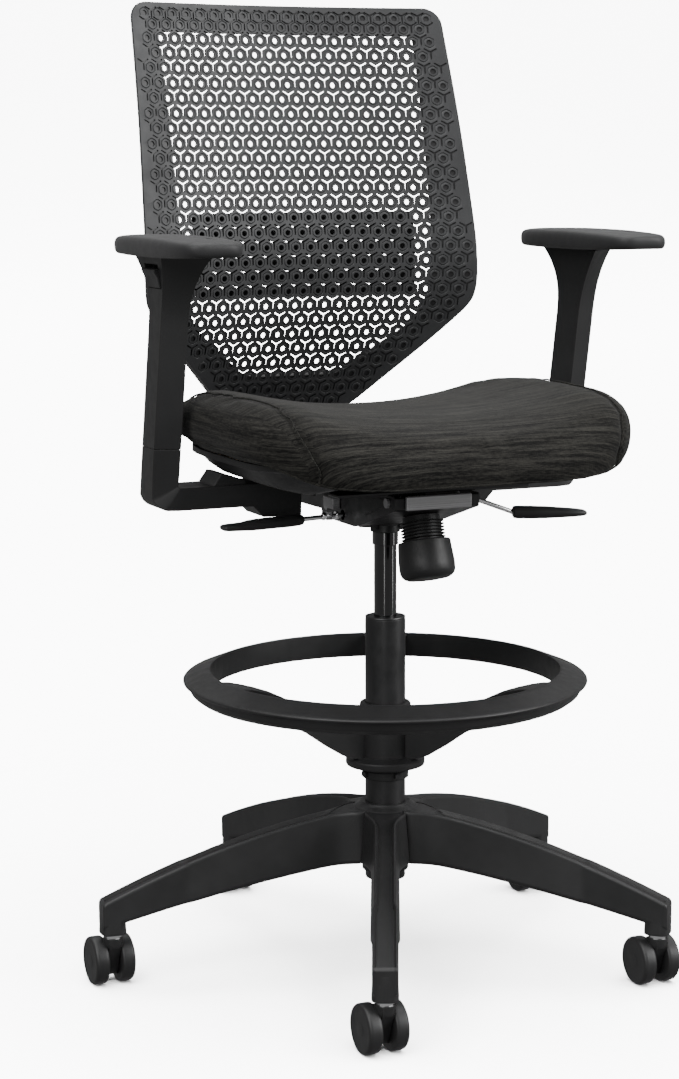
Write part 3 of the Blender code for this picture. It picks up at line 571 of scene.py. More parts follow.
def leg(angle, half):
    radii = [
        0.030, 0.043, 0.050, 0.057, 0.065, 0.075, 0.088, 0.105, 0.13, 0.16, 0.19, 0.22, 0.252, 0.257, 0.262,
        0.28, 0.305, 0.326, 0.340, 0.350, 0.3555, 0.3565, 0.3575, 0.3585, 0.3595, 0.3605, 0.3615,
        LEG_END - 0.0003,
    ]
    rings = []
    for radius in radii:
        right = leg_section(radius, half)
        left = [(-across, height) for across, height in reversed(right[1:-1])]
        rings.append([(radius, across, height) for across, height in right + left])
    return moved(loft(rings), Matrix.Rotation(angle, 4, "Z"))


def caster_place(number, sizes):
    angle = LEG_START + math.tau * number / LEG_COUNT
    return angle, Vector((sizes.socket_radius * math.cos(angle), sizes.socket_radius * math.sin(angle), 0))


def make_base(sizes):
    """Hub, five legs and their sockets, moulded as one."""
    tube = 0.0253
    hub = [
        (tube, 0.1165), (0.0282, 0.1165), (0.0288, 0.1172), (0.0296, 0.127), (0.0330, 0.1315),
        (0.0440, 0.134), (0.0440, 0.1880), (0.0424, 0.1942), (0.0385, 0.1982), (0.0335, 0.2005),
        (0.0316, 0.2030), (0.0306, 0.2040), (tube, 0.2040),
    ]
    shapes = [turned(hub, 80)]
    sockets, pins = [], []
    for number in range(LEG_COUNT):
        angle, place = caster_place(number, sizes)
        shapes.append(leg(angle, sizes.leg_half))
        block = [
            (0.0143, 0.0657), (0.0157, 0.0668), (0.0157, 0.0700), (0.0149, 0.0860), (0.0143, 0.0960),
            (0.0120, 0.0985)
        ]
        block = [squared_ring(half, half, (0, 0, height), 3.6, 48) for half, height in block]
        sockets.append(moved(loft(block), Matrix.Translation(place) @ Matrix.Rotation(angle, 4, "Z")))
        pin = turned([(0, 0.04), (0.0061, 0.04), (0.0061, 0.0975), (0, 0.0975)], 24)
        pins.append(moved(pin, Matrix.Translation(place)))
    star = combined(shapes[0], shapes[1:] + sockets, "UNION")
    keep("base_star", combined(star, pins, "DIFFERENCE"), "black_nylon", "base", ["star_base"])


def hood_outline():
    """Side view of a caster's hood about its axle: stem boss in front, fender over the back."""
    corners = [
        (-0.0250, 0.0602), (-0.0250, 0.0500), (-0.0160, 0.0350), (-0.0105, 0.0190), (-0.0040, 0.0095),
        (0.0105, 0.0080), (0.0200, 0.0160), (0.0228, 0.0295), (0.0203, 0.0410), (0.0120, 0.0510),
        (-0.0045, 0.0602),
    ]
    return rounded_loop(corners, 0.004, 3)


def make_caster(number, sizes):
    """Hood, and two wheels, each of which rides on its own body."""
    _, place = caster_place(number, sizes)
    trail = place + Vector((0, sizes.trail, 0))
    hood = prism(hood_outline(), -0.0074, 0.0074, lambda a, b, c: trail + Vector((c, a, b)))
    boss = [
        (0.0056, 0.0465), (0.0105, 0.0480), (0.0122, 0.0520), (0.0125, 0.0600), (0.0120, 0.0605),
        (0.0056, 0.0605)
    ]
    boss = moved(turned(boss, 32), Matrix.Translation(place))
    nose = []
    for half, front, back, height in (
        (0.0085, -0.0103, 0.004, 0.0560), (0.0072, -0.0098, 0.006, 0.0490),
        (0.0035, -0.0020, 0.009, 0.0380), (0.0008, 0.0040, 0.012, 0.0310),
    ):
        nose.append([
            (-half, front, height), (half, front, height), (half, back, height), (-half, back, height),
        ])
    nose = moved(loft(nose), Matrix.Translation(place))
    axle = trail + Vector((0, 0, sizes.wheel_radius))
    stub = rod(axle - Vector((0.0218, 0, 0)), axle + Vector((0.0218, 0, 0)), 0.0040)
    hood = combined(hood, [stub, boss, nose], "UNION")
    keep(
        f"caster_hood_{number}", hood, "black_nylon", f"caster_{number}", [f"caster_{number}_hood"],
        0.0006, 2
    )
    radius = sizes.wheel_radius
    tread = [
        (0.0044, 0.0230), (0.0010, 0.0232), (0, 0.0232), (0, 0.0250), (0.0085, 0.0250), (0.0092, 0.0246),
        (0.0220, 0.0246), (0.0228, 0.0250), (0.0262, 0.0250), (0.0280, 0.0243), (0.0291, 0.0228),
        (radius, 0.0205), (radius, 0.0125), (0.0291, 0.0098), (0.0281, 0.0086), (0.0265, 0.0082),
        (0.0200, 0.0082), (0.0190, 0.0090), (0.0075, 0.0090), (0.0070, 0.0082), (0.0044, 0.0082),
    ]
    for side, label in SIDES:
        wheel = bore_wheel(tread, sizes.wheel_steps)
        wheel = moved(wheel, Matrix.Translation(axle) @ Matrix.Rotation(side * math.pi / 2, 4, "Y"))
        name = f"caster_wheel_{number}_{label}"
        keep(name, wheel, "black_nylon", f"wheels_{number}", [f"caster_{number}_wheel_{label}"])


def bore_wheel(profile, steps):
    """A wheel turned about Z with a blind bore on its inner side."""
    shape = bmesh.new()
    points = [shape.verts.new((radius, 0, height)) for radius, height in profile[2:]]
    points += [shape.verts.new((0.0044, 0, 0.0228)), shape.verts.new((0, 0, 0.0228))]
    for pair in zip(points, points[1:]):
        shape.edges.new(pair)
    bmesh.ops.spin(
        shape, geom=shape.verts[:] + shape.edges[:], cent=(0, 0, 0), axis=(0, 0, 1),
        angle=math.tau, steps=steps, use_merge=True,
    )
    return close_up(shape)


# ------------------------------------------------------------------ column and foot ring


def make_column():
    """Outer tube with its rolled mouth, and the piston with its collar."""
    tube = [
        (0, 0.105), (0.0228, 0.105), (0.0243, 0.1058), (0.025, 0.108), (0.025, 0.4340), (0.0247, 0.4350),
        (0.0247, 0.4360), (0.0250, 0.4366), (0.0246, 0.4378), (0.0238, 0.4380), (0.0222, 0.4376),
        (0.0215, 0.4366), (0.0215, 0.109), (0, 0.109),
    ]
    keep("column_outer_tube", turned(tube, 80), "black_steel", "base", ["column_tube"])
    piston = [
        (0, 0.577), (0.0124, 0.577), (0.0128, 0.5766), (0.0136, 0.5430), (0.0156, 0.5430),
        (0.0160, 0.5426), (0.0160, 0.5276), (0.0156, 0.5272), (0.0142, 0.5268), (0.0140, 0.5260),
        (0.0140, 0.2005), (0.0136, 0.2000), (0.0090, 0.2000), (0.0090, 0.500), (0, 0.500),
    ]
    keep("column_piston", turned(piston, 64), "black_gloss", "lift", ["piston_rod"])


def ring_profile():
    """The ring's section: a broad top that falls outwards, over an upright rib."""
    corners = [
        (0.2161, 0.3560), (0.2161, 0.3739), (0.2210, 0.3734), (0.2480, 0.3628), (0.2499, 0.3612),
        (0.2497, 0.3592), (0.2435, 0.3560), (0.2408, 0.3475), (0.2330, 0.3417), (0.2172, 0.3417),
        (0.2161, 0.3560),
    ]
    return rounded(corners, 0.0016, 2)[:-1]


def spoke(angle):
    """An upright web from the hub to the ring, which spreads sideways where it meets the ring."""
    rings = []
    for radius, low, high, foot, head in (
        (0.028, 0.2600, 0.3050, 0.0065, 0.0062), (0.040, 0.2610, 0.3080, 0.0052, 0.0058),
        (0.060, 0.2672, 0.3150, 0.0045, 0.0056), (0.085, 0.2830, 0.3240, 0.0042, 0.0060),
        (0.110, 0.3010, 0.3345, 0.0040, 0.0068), (0.135, 0.3150, 0.3460, 0.0040, 0.0080),
        (0.160, 0.3300, 0.3585, 0.0040, 0.0105), (0.178, 0.3370, 0.3650, 0.0043, 0.0145),
        (0.194, 0.3410, 0.3695, 0.0050, 0.0200), (0.206, 0.3427, 0.3718, 0.0062, 0.0255),
        (0.2140, 0.3430, 0.3722, 0.0072, 0.0290),
    ):
        dish = 0.0022 * max(0.0, 1 - abs(radius - 0.186) / 0.024)
        mid = (low + high) / 2
        waist = foot * 0.9
        rings.append([
            (radius, -foot, low), (radius, foot, low), (radius, waist, mid),
            (radius, head * 0.92, high - 0.0042), (radius, head, high - 0.0012),
            (radius, head * 0.86, high), (radius, head * 0.45, high - dish),
            (radius, -head * 0.45, high - dish), (radius, -head * 0.86, high),
            (radius, -head, high - 0.0012), (radius, -head * 0.92, high - 0.0042), (radius, -waist, mid),
        ])
    return moved(loft(rings), Matrix.Rotation(angle, 4, "Z"))


def make_foot_ring():
    """Ring, three-armed spider on its sleeve, and the collar that locks it to the tube."""
    keep("foot_ring_hoop", turned(ring_profile(), 128), "black_nylon", "ring", ["foot_ring"])
    bore = 0.0258
    sleeve = [
        (bore, 0.2502), (0.0468, 0.2502), (0.0484, 0.2508), (0.0492, 0.2524), (0.0492, 0.2580),
        (0.0478, 0.2596), (0.0360, 0.2612), (0.0325, 0.2630), (0.0318, 0.3270), (0.0308, 0.3290),
        (bore, 0.3300),
    ]
    spokes = [spoke(LEG_START + math.radians(turn)) for turn in (-60, 60, 180)]
    spider = combined(turned(sleeve, 72), spokes, "UNION")
    bore_cut = turned([(0, 0.24), (bore, 0.24), (bore, 0.34), (0, 0.34)], 72)
    spider = combined(spider, [bore_cut], "DIFFERENCE")
    keep("foot_ring_spider", spider, "black_nylon", "ring", ["ring_spider"])
    collar = [
        (bore, 0.2342), (0.0282, 0.2342), (0.0290, 0.2350), (0.0290, 0.2436), (0.0280, 0.2442),
        (0.0280, 0.2452), (0.0290, 0.2458), (0.0290, 0.2492), (0.0284, 0.2498), (bore, 0.2498),
    ]
    lugs = []
    for index in range(4):
        lug = box((0.0270, -0.0045, 0.2375), (0.0318, 0.0045, 0.2430))
        lugs.append(moved(lug, Matrix.Rotation(LEG_START + math.tau * (index + 0.35) / 4, 4, "Z")))
    collar = combined(turned(collar, 64), lugs, "UNION")
    keep("foot_ring_collar", collar, "black_nylon", "collar", ["ring_lock_collar"])


# ------------------------------------------------------------------ tilt mechanism

FRONT_FACE = -0.145
HOUSING_HALF = 0.055


def knob_frame():
    """The leaning axis of the tension adjuster, with its origin at the knob's top face."""
    axis = Vector(JOINTS["tension_knob_turn"]["axis"])
    lean = axis.to_track_quat("Z", "X").to_matrix().to_4x4()
    return Matrix.Translation(joint_place("tension_knob_turn")) @ lean


def make_housing():
    """Pressed housing with its boss, flanges and side embossing, and the plates on it."""
    outline = [
        (FRONT_FACE, 0.590), (-0.055, 0.5625), (-0.030, 0.556), (0.030, 0.556), (0.062, 0.556),
        (0.070, 0.562), (0.070, 0.579), (-0.100, 0.606), (FRONT_FACE, 0.606),
    ]
    hollow = [
        (FRONT_FACE + 0.0025, 0.5925), (-0.055, 0.5655), (-0.030, 0.559), (0.028, 0.559), (0.028, 0.540),
        (0.090, 0.540), (0.090, 0.620), (FRONT_FACE + 0.0025, 0.620),
    ]
    half = HOUSING_HALF
    shell = prism(rounded_loop(outline, 0.004, 3), -half, half, side_view)
    inner = prism(hollow, 0.0025 - half, half - 0.0025, side_view)
    shell = combined(shell, [inner], "DIFFERENCE")
    boss = [
        (0.0143, 0.5432), (0.0178, 0.5432), (0.0185, 0.5440), (0.0185, 0.5520), (0.0225, 0.5570),
        (0.0225, 0.5620), (0.0170, 0.5640), (0.0170, 0.5815), (0.0143, 0.5815),
    ]
    webs = []
    for turn in (35, 90, 145, 215, 325):
        web = box((0.0165, -0.0014, 0.5470), (0.0330, 0.0014, 0.5585))
        webs.append(moved(web, Matrix.Rotation(math.radians(turn), 4, "Z")))
    emboss = [
        (-0.118, 0.5925), (-0.060, 0.5740), (-0.044, 0.5740), (-0.044, 0.5880), (-0.100, 0.6000),
        (-0.118, 0.6000),
    ]
    panels = []
    for side, _ in SIDES:
        near, far = sorted((side * (half - 0.001), side * (half + 0.001)))
        panels.append(prism(rounded_loop(emboss, 0.004, 3), near, far, side_view))
    housing = combined(shell, [turned(boss, 48), *webs, *panels], "UNION")
    bore = turned([(0, 0.53), (0.0141, 0.53), (0.0141, 0.5775), (0, 0.5775)], 48)
    across = Vector((half + 0.01, 0, 0))
    places = [joint_place("seat_tilt"), joint_place("back_recline")]
    cuts = [rod(place - across, place + across, 0.0063) for place in places]
    screw = moved(turned([(0, 0.02), (0.0066, 0.02), (0.0066, 0.055), (0, 0.055)], 32), knob_frame())
    inward = Vector((0.01, 0, 0))
    for name in ("height_lever_lift", "tilt_lever_turn"):
        cuts.append(rod(joint_place(name) - inward, joint_place(name) + inward, 0.0066))
    housing = combined(housing, [bore, screw, *cuts], "DIFFERENCE")
    keep("mechanism_housing", housing, "black_steel", "mechanism", ["mech_housing"], 0.0007, 2)

    front = box((-0.0425, FRONT_FACE - 0.006, 0.5900), (0.0425, FRONT_FACE - 0.0003, 0.6070))
    keep("mechanism_front_plate", front, "grey_steel", "mechanism", ["front_plate"], 0.0016)
    edge = -half - 0.0003
    low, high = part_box("side_plate")
    side = box((edge - 0.010, low.y - AXIS.y, low.z), (edge, high.y - AXIS.y, high.z))
    keep("mechanism_side_plate", side, "grey_steel", "mechanism", ["side_plate"], 0.0010)
    keep("mechanism_spring", coil_spring(), "spring_steel", "mechanism", ["recline_spring"])


def coil_spring():
    """A close coil that lies across the housing."""
    turns, per_turn, radius, wire, length_across = 7, 22, 0.013, 0.0019, 0.070
    centre = Vector((0, -0.045, 0.5815))
    points = []
    for step in range(turns * per_turn + 1):
        turn = math.tau * step / per_turn
        outward = Vector((0, math.cos(turn), math.sin(turn)))
        share = step / (turns * per_turn) - 0.5
        points.append(centre + radius * outward + Vector((length_across * share, 0, 0)))
    return tube_along(points, wire, 8)


def make_tension_adjuster():
    """Ribbed sleeve and the round-bottomed knob under it."""
    thread = []
    for rib in range(9):
        height = -0.008 + rib * 0.0038
        thread += [
            (0.0222, height - 0.0007), (0.0262, height - 0.0004), (0.0265, height),
            (0.0262, height + 0.0004)
        ]
        thread += [(0.0222, height + 0.0009)]
    profile = [(0.0195, -0.010), (0.0222, -0.010)] + thread + [(0.0222, 0.0300), (0.0195, 0.0300)]
    keep(
        "adjuster_sleeve", moved(turned(profile, 64), knob_frame()), "black_nylon", "mechanism",
        ["tension_sleeve"]
    )
    knob = [
        (0, -0.046), (0.0190, -0.0459), (0.0245, -0.0452), (0.0285, -0.0435), (0.0315, -0.0405),
        (0.0331, -0.0365), (0.0336, -0.0310), (0.0335, -0.0250), (0.0316, -0.0020), (0.0314, -0.0008),
        (0.0308, 0), (0.0282, 0), (0.0276, -0.0008), (0.0276, -0.015), (0.0053, -0.015), (0.0053, -0.031),
        (0, -0.031),
    ]
    knob = turned(knob, 72)
    keep("adjuster_knob", moved(knob, knob_frame()), "black_nylon", "knob", ["tension_knob"])


def grip(start, end, stations, half_width, half_height, across):
    """A flat grip whose width and height change along it."""
    start, end, across = Vector(start), Vector(end), Vector(across)
    rings = []
    for along, width, height, drop in stations:
        middle = start.lerp(end, along) + Vector((0, 0, drop))
        ring = []
        for index in range(20):
            turn = math.tau * (index + 0.5) / 20
            cosine, sine = math.cos(turn), math.sin(turn)
            side = across * (half_width * width * math.copysign(abs(cosine) ** 0.75, cosine))
            rise = Vector((0, 0, half_height * height * math.copysign(abs(sine) ** 0.75, sine)))
            ring.append(middle + side + rise)
        rings.append(ring)
    return loft(rings)


def make_levers():
    """The height lever on the sitter's right and the tilt lever on the left, each a rod and a grip."""
    hinge = joint_place("height_lever_lift")
    parts = [rod(hinge + Vector((0.009, 0, 0)), hinge - Vector((0.066, 0, 0.0025)), 0.0030)]
    for offset, radius, wide in (
        (0.0085, 0.0058, 0.0030), (0.0150, 0.0052, 0.0025), (0.0255, 0.0046, 0.0040)
    ):
        centre = hinge - Vector((offset, 0, 0.0005))
        parts.append(rod(centre - Vector((wide / 2, 0, 0)), centre + Vector((wide / 2, 0, 0)), radius))
    for low, high in ((-0.0075, -0.0050), (0.0050, 0.0075)):
        parts.append(box(hinge + Vector((-0.0245, low, -0.0042)), hinge + Vector((-0.0175, high, 0.0050))))
    pin = hinge + Vector((-0.021, 0, 0.0016))
    parts.append(rod(pin - Vector((0, 0.0095, 0)), pin + Vector((0, 0.0095, 0)), 0.0020))
    lever = combined(parts[0], parts[1:], "UNION")
    keep("lever_height_rod", lever, "chrome", "height_lever", ["height_lever_rod"])
    stations = (
        (0, 0.50, 0.66, 0), (0.012, 0.60, 0.86, 0), (0.05, 0.66, 0.98, 0), (0.20, 0.80, 1.0, 0),
        (0.38, 0.92, 0.98, 0.0004), (0.55, 1.0, 0.94, 0.0006), (0.66, 1.0, 0.88, 0.0004),
        (0.74, 0.99, 0.72, 0.0002), (0.84, 0.96, 0.64, 0.0004), (0.93, 0.92, 0.60, 0.0008),
        (0.98, 0.86, 0.52, 0.0010), (0.995, 0.78, 0.38, 0.0010), (1.0, 0.66, 0.22, 0.0010),
    )
    handle = grip((-0.108, 0.005, 0.5635), (-0.213, 0.003, 0.5590), stations, 0.0125, 0.0070, (0, 1, 0))
    blind = rod(hinge - Vector((0.02, 0, 0.0008)), hinge - Vector((0.0665, 0, 0.0025)), 0.0034)
    handle = combined(handle, [blind], "DIFFERENCE")
    keep("lever_height_grip", handle, "black_nylon", "height_lever", ["height_lever_paddle"])

    root = joint_place("tilt_lever_turn")
    elbow = Vector((0.064, -0.095, 0.595))
    start, end = Vector((0.124, -0.0995, 0.5722)), Vector((0.212, -0.1235, 0.5695))
    along = (start - elbow).normalized()
    way = [root - Vector((0.006, 0, 0)), root, elbow - Vector((0.003, 0, 0))]
    way.append(elbow - Vector((0.001, 0, 0.0001)))
    way += [elbow + along * 0.0015, elbow + along * 0.004, start + along * 0.010]
    bent = tube_along(way, 0.0030, 20)
    ferrules = []
    for low, high, radius in ((0.0020, 0.0060, 0.0052), (0.0068, 0.0078, 0.0046), (0.0086, 0.0120, 0.0052)):
        ferrules.append(rod(elbow + along * low, elbow + along * high, radius))
    keep("lever_tilt_rod", combined(bent, ferrules, "UNION"), "chrome", "tilt_lever", ["tilt_lever_rod"])
    stations = (
        (0, 0.50, 0.72, 0), (0.012, 0.60, 0.94, 0), (0.06, 0.66, 1.0, 0), (0.24, 0.82, 1.0, 0),
        (0.45, 0.96, 0.92, 0), (0.65, 1.0, 0.78, 0), (0.80, 0.98, 0.66, 0), (0.90, 0.90, 0.56, 0),
        (0.965, 0.74, 0.46, 0), (0.99, 0.60, 0.34, 0), (1.0, 0.48, 0.22, 0),
    )
    across = (end - start).cross(Vector((0, 0, 1))).normalized()
    handle = grip(start, end, stations, 0.0130, 0.0078, across)
    handle = combined(handle, [rod(start - along * 0.02, start + along * 0.0105, 0.0034)], "DIFFERENCE")
    keep("lever_tilt_grip", handle, "black_nylon", "tilt_lever", ["tilt_lever_paddle"])


# ------------------------------------------------------------------ seat

PAN_CENTRE_Y = -0.030


def make_pan():
    """Moulded pan under the cushion, with a rolled rim and stiffening ribs."""
    outer = [
        (0.162, 0.147, 0.6131), (0.168, 0.153, 0.6134), (0.180, 0.164, 0.6166), (0.197, 0.178, 0.6226),
        (0.210, 0.187, 0.6320), (0.218, 0.1925, 0.6410), (0.2265, 0.1955, 0.6440),
        (0.2290, 0.1960, 0.6450), (0.2290, 0.1960, 0.6516), (0.2284, 0.1956, 0.6522),
    ]
    inner = [
        (0.2262, 0.1932, 0.6522), (0.2145, 0.1895, 0.6420), (0.192, 0.173, 0.6245), (0.163, 0.148, 0.6160)
    ]
    rings = []
    for half_x, half_y, high in outer + inner:
        ring = squared_ring(half_x, half_y, (0, PAN_CENTRE_Y, high), 3.6, 72)
        room = (0.6522 - high) * 0.5
        rings.append(
            [point + Vector((0, 0, room * min(1.0, max(0.0, (-0.130 - point.y) / 0.06)))) for point in ring]
        )
    pan = loft(rings)
    ribs = []
    for x in (-0.150, -0.135, 0.135, 0.150):
        ribs.append(box((x - 0.0011, -0.130, 0.6118), (x + 0.0011, 0.080, 0.6150)))
    keep("seat_pan_moulding", combined(pan, ribs, "UNION"), "black_nylon", "seat", ["seat_pan"])


HEM = [
    (-0.30, 0.620), (-0.255, 0.6245), (-0.240, 0.6285), (-0.225, 0.6350), (-0.207, 0.6435),
    (-0.18, 0.6505), (-0.12, 0.6555), (0.0, 0.6590), (0.20, 0.6610),
]


def cushion_top(x, y, sizes):
    """Height of the cushion's top: a dish between raised sides that falls away at the front and the rear."""
    forward = -(y - sizes.centre_y) / sizes.half_depth
    across = abs(x) / sizes.half_width
    fall = 0.046 * max(forward, 0.0) ** 4 + 0.024 * max(-forward, 0.0) ** 2.5
    middle = max(0.0, 1 - (across / 0.72) ** 2)
    return sizes.crest - fall - sizes.dish * middle**0.8 * (1 - 0.75 * max(forward, 0.0) ** 3)


def cushion_bottom(x, y):
    """Height of its underside: flat over the pan, with an edge round it that hangs lower in front."""
    reach = ((abs(x) / 0.229) ** 3.6 + (abs(y - PAN_CENTRE_Y) / 0.196) ** 3.6) ** (1 / 3.6)
    t = min(1.0, max(0.0, (reach - 1.004) / 0.040))
    t = t * t * (3 - 2 * t)
    return (1 - t) * 0.6527 + t * smooth_curve(HEM, y)


def cushion_shape(sizes):
    """Rings from the middle of the underside over the sides to the middle of the top."""
    layers = [
        (0.35, 0.0), (0.75, 0.0), (0.82, 0.0), (0.86, 0.0), (0.90, 0.0), (0.93, 0.0), (0.955, 0.02),
        (0.982, 0.10), (0.996, 0.28), (1.0, 0.50), (0.994, 0.70), (0.972, 0.86), (0.935, 0.955),
        (0.88, 0.995), (0.78, 1.0), (0.62, 1.0), (0.45, 1.0), (0.28, 1.0), (0.12, 1.0),
    ]
    rings = []
    inset = 0.0025
    for scale, rise in layers:
        half_x = (sizes.half_width - inset) * scale
        half_y = (sizes.half_depth - inset) * scale
        ring = []
        for point in squared_ring(half_x, half_y, (0, sizes.centre_y, 0), 3.8, 96):
            low = cushion_bottom(point.x, point.y) + inset * 0.5
            high = cushion_top(point.x, point.y, sizes) - inset
            ring.append((point.x, point.y, low + (high - low) * rise))
        rings.append(ring)
    return loft(rings)


def padded_out(shape, sizes):
    """The shape remeshed and swollen by a short cloth simulation, with each point's travel capped."""
    item = loose_object(shape, "cushion_stuffing")
    scene = bpy.context.scene
    modifier = item.modifiers.new("Remesh", "REMESH")
    modifier.mode = "VOXEL"
    modifier.voxel_size = sizes.voxel
    modifier.use_smooth_shade = True
    shape = evaluated(item)
    item = loose_object(shape, "cushion_stuffing")
    rest = [vertex.co.copy() for vertex in item.data.vertices]
    outward = [vertex.normal.copy() for vertex in item.data.vertices]
    cloth = item.modifiers.new("Stuffing", "CLOTH")
    cloth.settings.use_pressure = True
    cloth.settings.uniform_pressure_force = 4.0
    cloth.settings.effector_weights.gravity = 0.0
    cloth.settings.quality = 5
    for number in range(1, 21):
        scene.frame_set(number)
    swollen = evaluated(item)
    swollen.verts.ensure_lookup_table()
    for vertex, start, normal in zip(swollen.verts, rest, outward):
        travel = min(sizes.swell, max(-0.0010, (vertex.co - start).dot(normal))) * normal
        travel.z = max(travel.z, cushion_bottom(start.x, start.y) - start.z)
        vertex.co = start + travel
    for _ in range(4):
        bmesh.ops.smooth_vert(
            swollen, verts=swollen.verts, factor=0.5, use_axis_x=True, use_axis_y=True, use_axis_z=True
        )
    scene.frame_set(1)
    return swollen


def snapped(tree, points, per_span=14):
    """A smooth line through points, laid on a surface."""
    line = []
    spans = list(zip([points[0], *points[:-2]], points[:-1], points[1:], [*points[2:], points[-1]]))
    for before, start, end, after in spans:
        before, start, end, after = Vector(before), Vector(start), Vector(end), Vector(after)
        for step in range(per_span):
            t = step / per_span
            line.append(0.5 * (
                2 * start + (end - before) * t + (2 * before - 5 * start + 4 * end - after) * t * t
                + (3 * start - before - 3 * end + after) * t**3
            ))
    line.append(Vector(points[-1]))
    return [tree.find_nearest(point)[0] for point in line]


def seam_points(side):
    """A seam's way from the rear along the crest, then down the front corner."""
    return [
        (side * 0.190, 0.170, 0.664), (side * 0.205, 0.160, 0.690), (side * 0.213, 0.120, 0.704),
        (side * 0.216, 0.020, 0.7095), (side * 0.211, -0.097, 0.712), (side * 0.206, -0.167, 0.7025),
        (side * 0.201, -0.2174, 0.685), (side * 0.200, -0.2416, 0.665), (side * 0.200, -0.2527, 0.649),
        (side * 0.200, -0.2446, 0.630),
    ]


def cloth_map(mesh):
    """UV in metres: across the seat on the panels that face up and forward, along it on the side panels."""
    layer = mesh.uv_layers.new(name="UVMap")
    for polygon in mesh.polygons:
        centre = polygon.center - AXIS
        side_panel = abs(polygon.normal.x) > 0.62 and abs(centre.x) > 0.19
        for loop in polygon.loop_indices:
            point = mesh.vertices[mesh.loops[loop].vertex_index].co - AXIS
            along = point.y if side_panel else point.x
            across = point.z if side_panel else point.y + point.z
            layer.data[loop].uv = (along, across + (3.0 if side_panel else 0.0))


def make_cushion(sizes):
    """The stuffed cushion with pressed seams, its seam cords and the piping round its lower edge."""
    shape = padded_out(cushion_shape(sizes), sizes)
    tree = BVHTree.FromBMesh(shape)
    seams = {label: snapped(tree, seam_points(side)) for side, label in SIDES}
    groove, depth = 0.0090, 0.0030
    near = BVHTree.FromPolygons(
        [point for line in seams.values() for point in line],
        [(index, index + 1, index) for line, start in zip(seams.values(), (0, len(seams["left"])))
         for index in range(start, start + len(line) - 1)],
    )
    shape.normal_update()
    for vertex in shape.verts:
        found = near.find_nearest(vertex.co, groove * 2)
        if found[0] is not None:
            vertex.co -= vertex.normal * depth * math.exp(-((found[3] / (groove * 0.5)) ** 2))
    cushion = keep("seat_cushion_cover", shape, "charcoal_fabric", "seat", ["seat_cushion"], levels=1)
    cloth_map(cushion.data)
    for label, line in seams.items():
        cord = keep(f"seat_seam_{label}", tube_along(line, 0.0011, 6), "charcoal_fabric", "seat")
        cloth_map(cord.data)
    edge = []
    for point in squared_ring(
        sizes.half_width * 0.985, sizes.half_depth * 0.985, (0, sizes.centre_y, 0), 3.5, 160
    ):
        edge.append(point + Vector((0, 0, cushion_bottom(point.x, point.y) + 0.0030)))
    piping = [tree.find_nearest(point)[0] for point in edge]
    piping = keep("seat_piping", tube_along(piping, 0.0015, 8, closed=True), "charcoal_fabric", "seat")
    cloth_map(piping.data)


# ------------------------------------------------------------------ arms

BAR_FRONT, BAR_BACK = -0.030, 0.026
SHOULDER = 0.655
PAD_BOTTOM = 0.8838


def arm_centre(height, sizes):
    return 0.026 + sizes.lean * (height - 0.75)


def arm_section(side, height, sizes, inset=0.0, grow=0.0, front=0.0, back=0.0):
    """Upright section with a slanted front face, whose inner edge comes forward as the head spreads."""
    middle = arm_centre(height, sizes)
    inner = sizes.middle_x - sizes.half_width - grow + inset
    outer = sizes.middle_x + sizes.half_width + grow - inset
    points = [
        (inner, middle - 0.030 + inset - front), (outer, middle - 0.016 + inset - front * 0.3),
        (outer, middle + 0.026 - inset + back), (inner, middle + 0.026 - inset + back),
    ]
    return [(side * x, y, height) for x, y in points]


def make_bracket(side, label, sizes):
    """L-shaped bracket: a bar under the seat, a rounded elbow and a post inside the sleeve."""
    middle = arm_centre(0.594, sizes)
    front, back = middle + BAR_FRONT, middle + BAR_BACK

    def bar(x_low, x_high, low, high):
        return [
            (side * x_high, front, high), (side * x_low, front, low), (side * x_low, back, low),
            (side * x_high, back, high)
        ]

    rings = [
        bar(0.100, 0.100, 0.566, 0.6075), bar(0.150, 0.150, 0.566, 0.6075), bar(0.163, 0.158, 0.580, 0.6075),
        bar(0.2585, 0.240, 0.580, 0.6070),
    ]
    inner_x, outer_x = sizes.middle_x - sizes.half_width, sizes.middle_x + sizes.half_width
    centre_x, centre_z = outer_x - 0.020, 0.600
    for step in range(1, 7):
        turn = math.radians(90 * step / 7)
        low = (centre_x + 0.020 * math.sin(turn), centre_z - 0.020 * math.cos(turn))
        high = (inner_x - 0.004 + 0.004 * math.sin(turn), 0.6110 - 0.004 * math.cos(turn))
        share = step / 7
        slant = 0.014 * share
        rings.append([
            (side * high[0], front - 0.001 * share, high[1]), (side * low[0], front + slant, low[1]),
            (side * low[0], back, low[1]), (side * high[0], back, high[1]),
        ])
    rings += [arm_section(side, 0.622, sizes), arm_section(side, SHOULDER, sizes)]
    rings += [arm_section(side, SHOULDER, sizes, 0.004), arm_section(side, 0.800, sizes, 0.004)]
    shape = loft(rings)
    gusset = [
        (0.172, 0.600), (0.216, 0.600), (0.2125, 0.6085), (0.203, 0.6215), (0.196, 0.6205),
        (0.172, 0.6120)
    ]
    gusset = [(side * a, b) for a, b in gusset]
    shape = combined(shape, [prism(gusset, front + 0.002, back - 0.002, lambda a, b, c: (a, c, b))], "UNION")
    keep(f"arm_bracket_body_{label}", shape, "black_nylon", f"arm_{label}", [f"arm_bracket_{label}"], 0.0022)


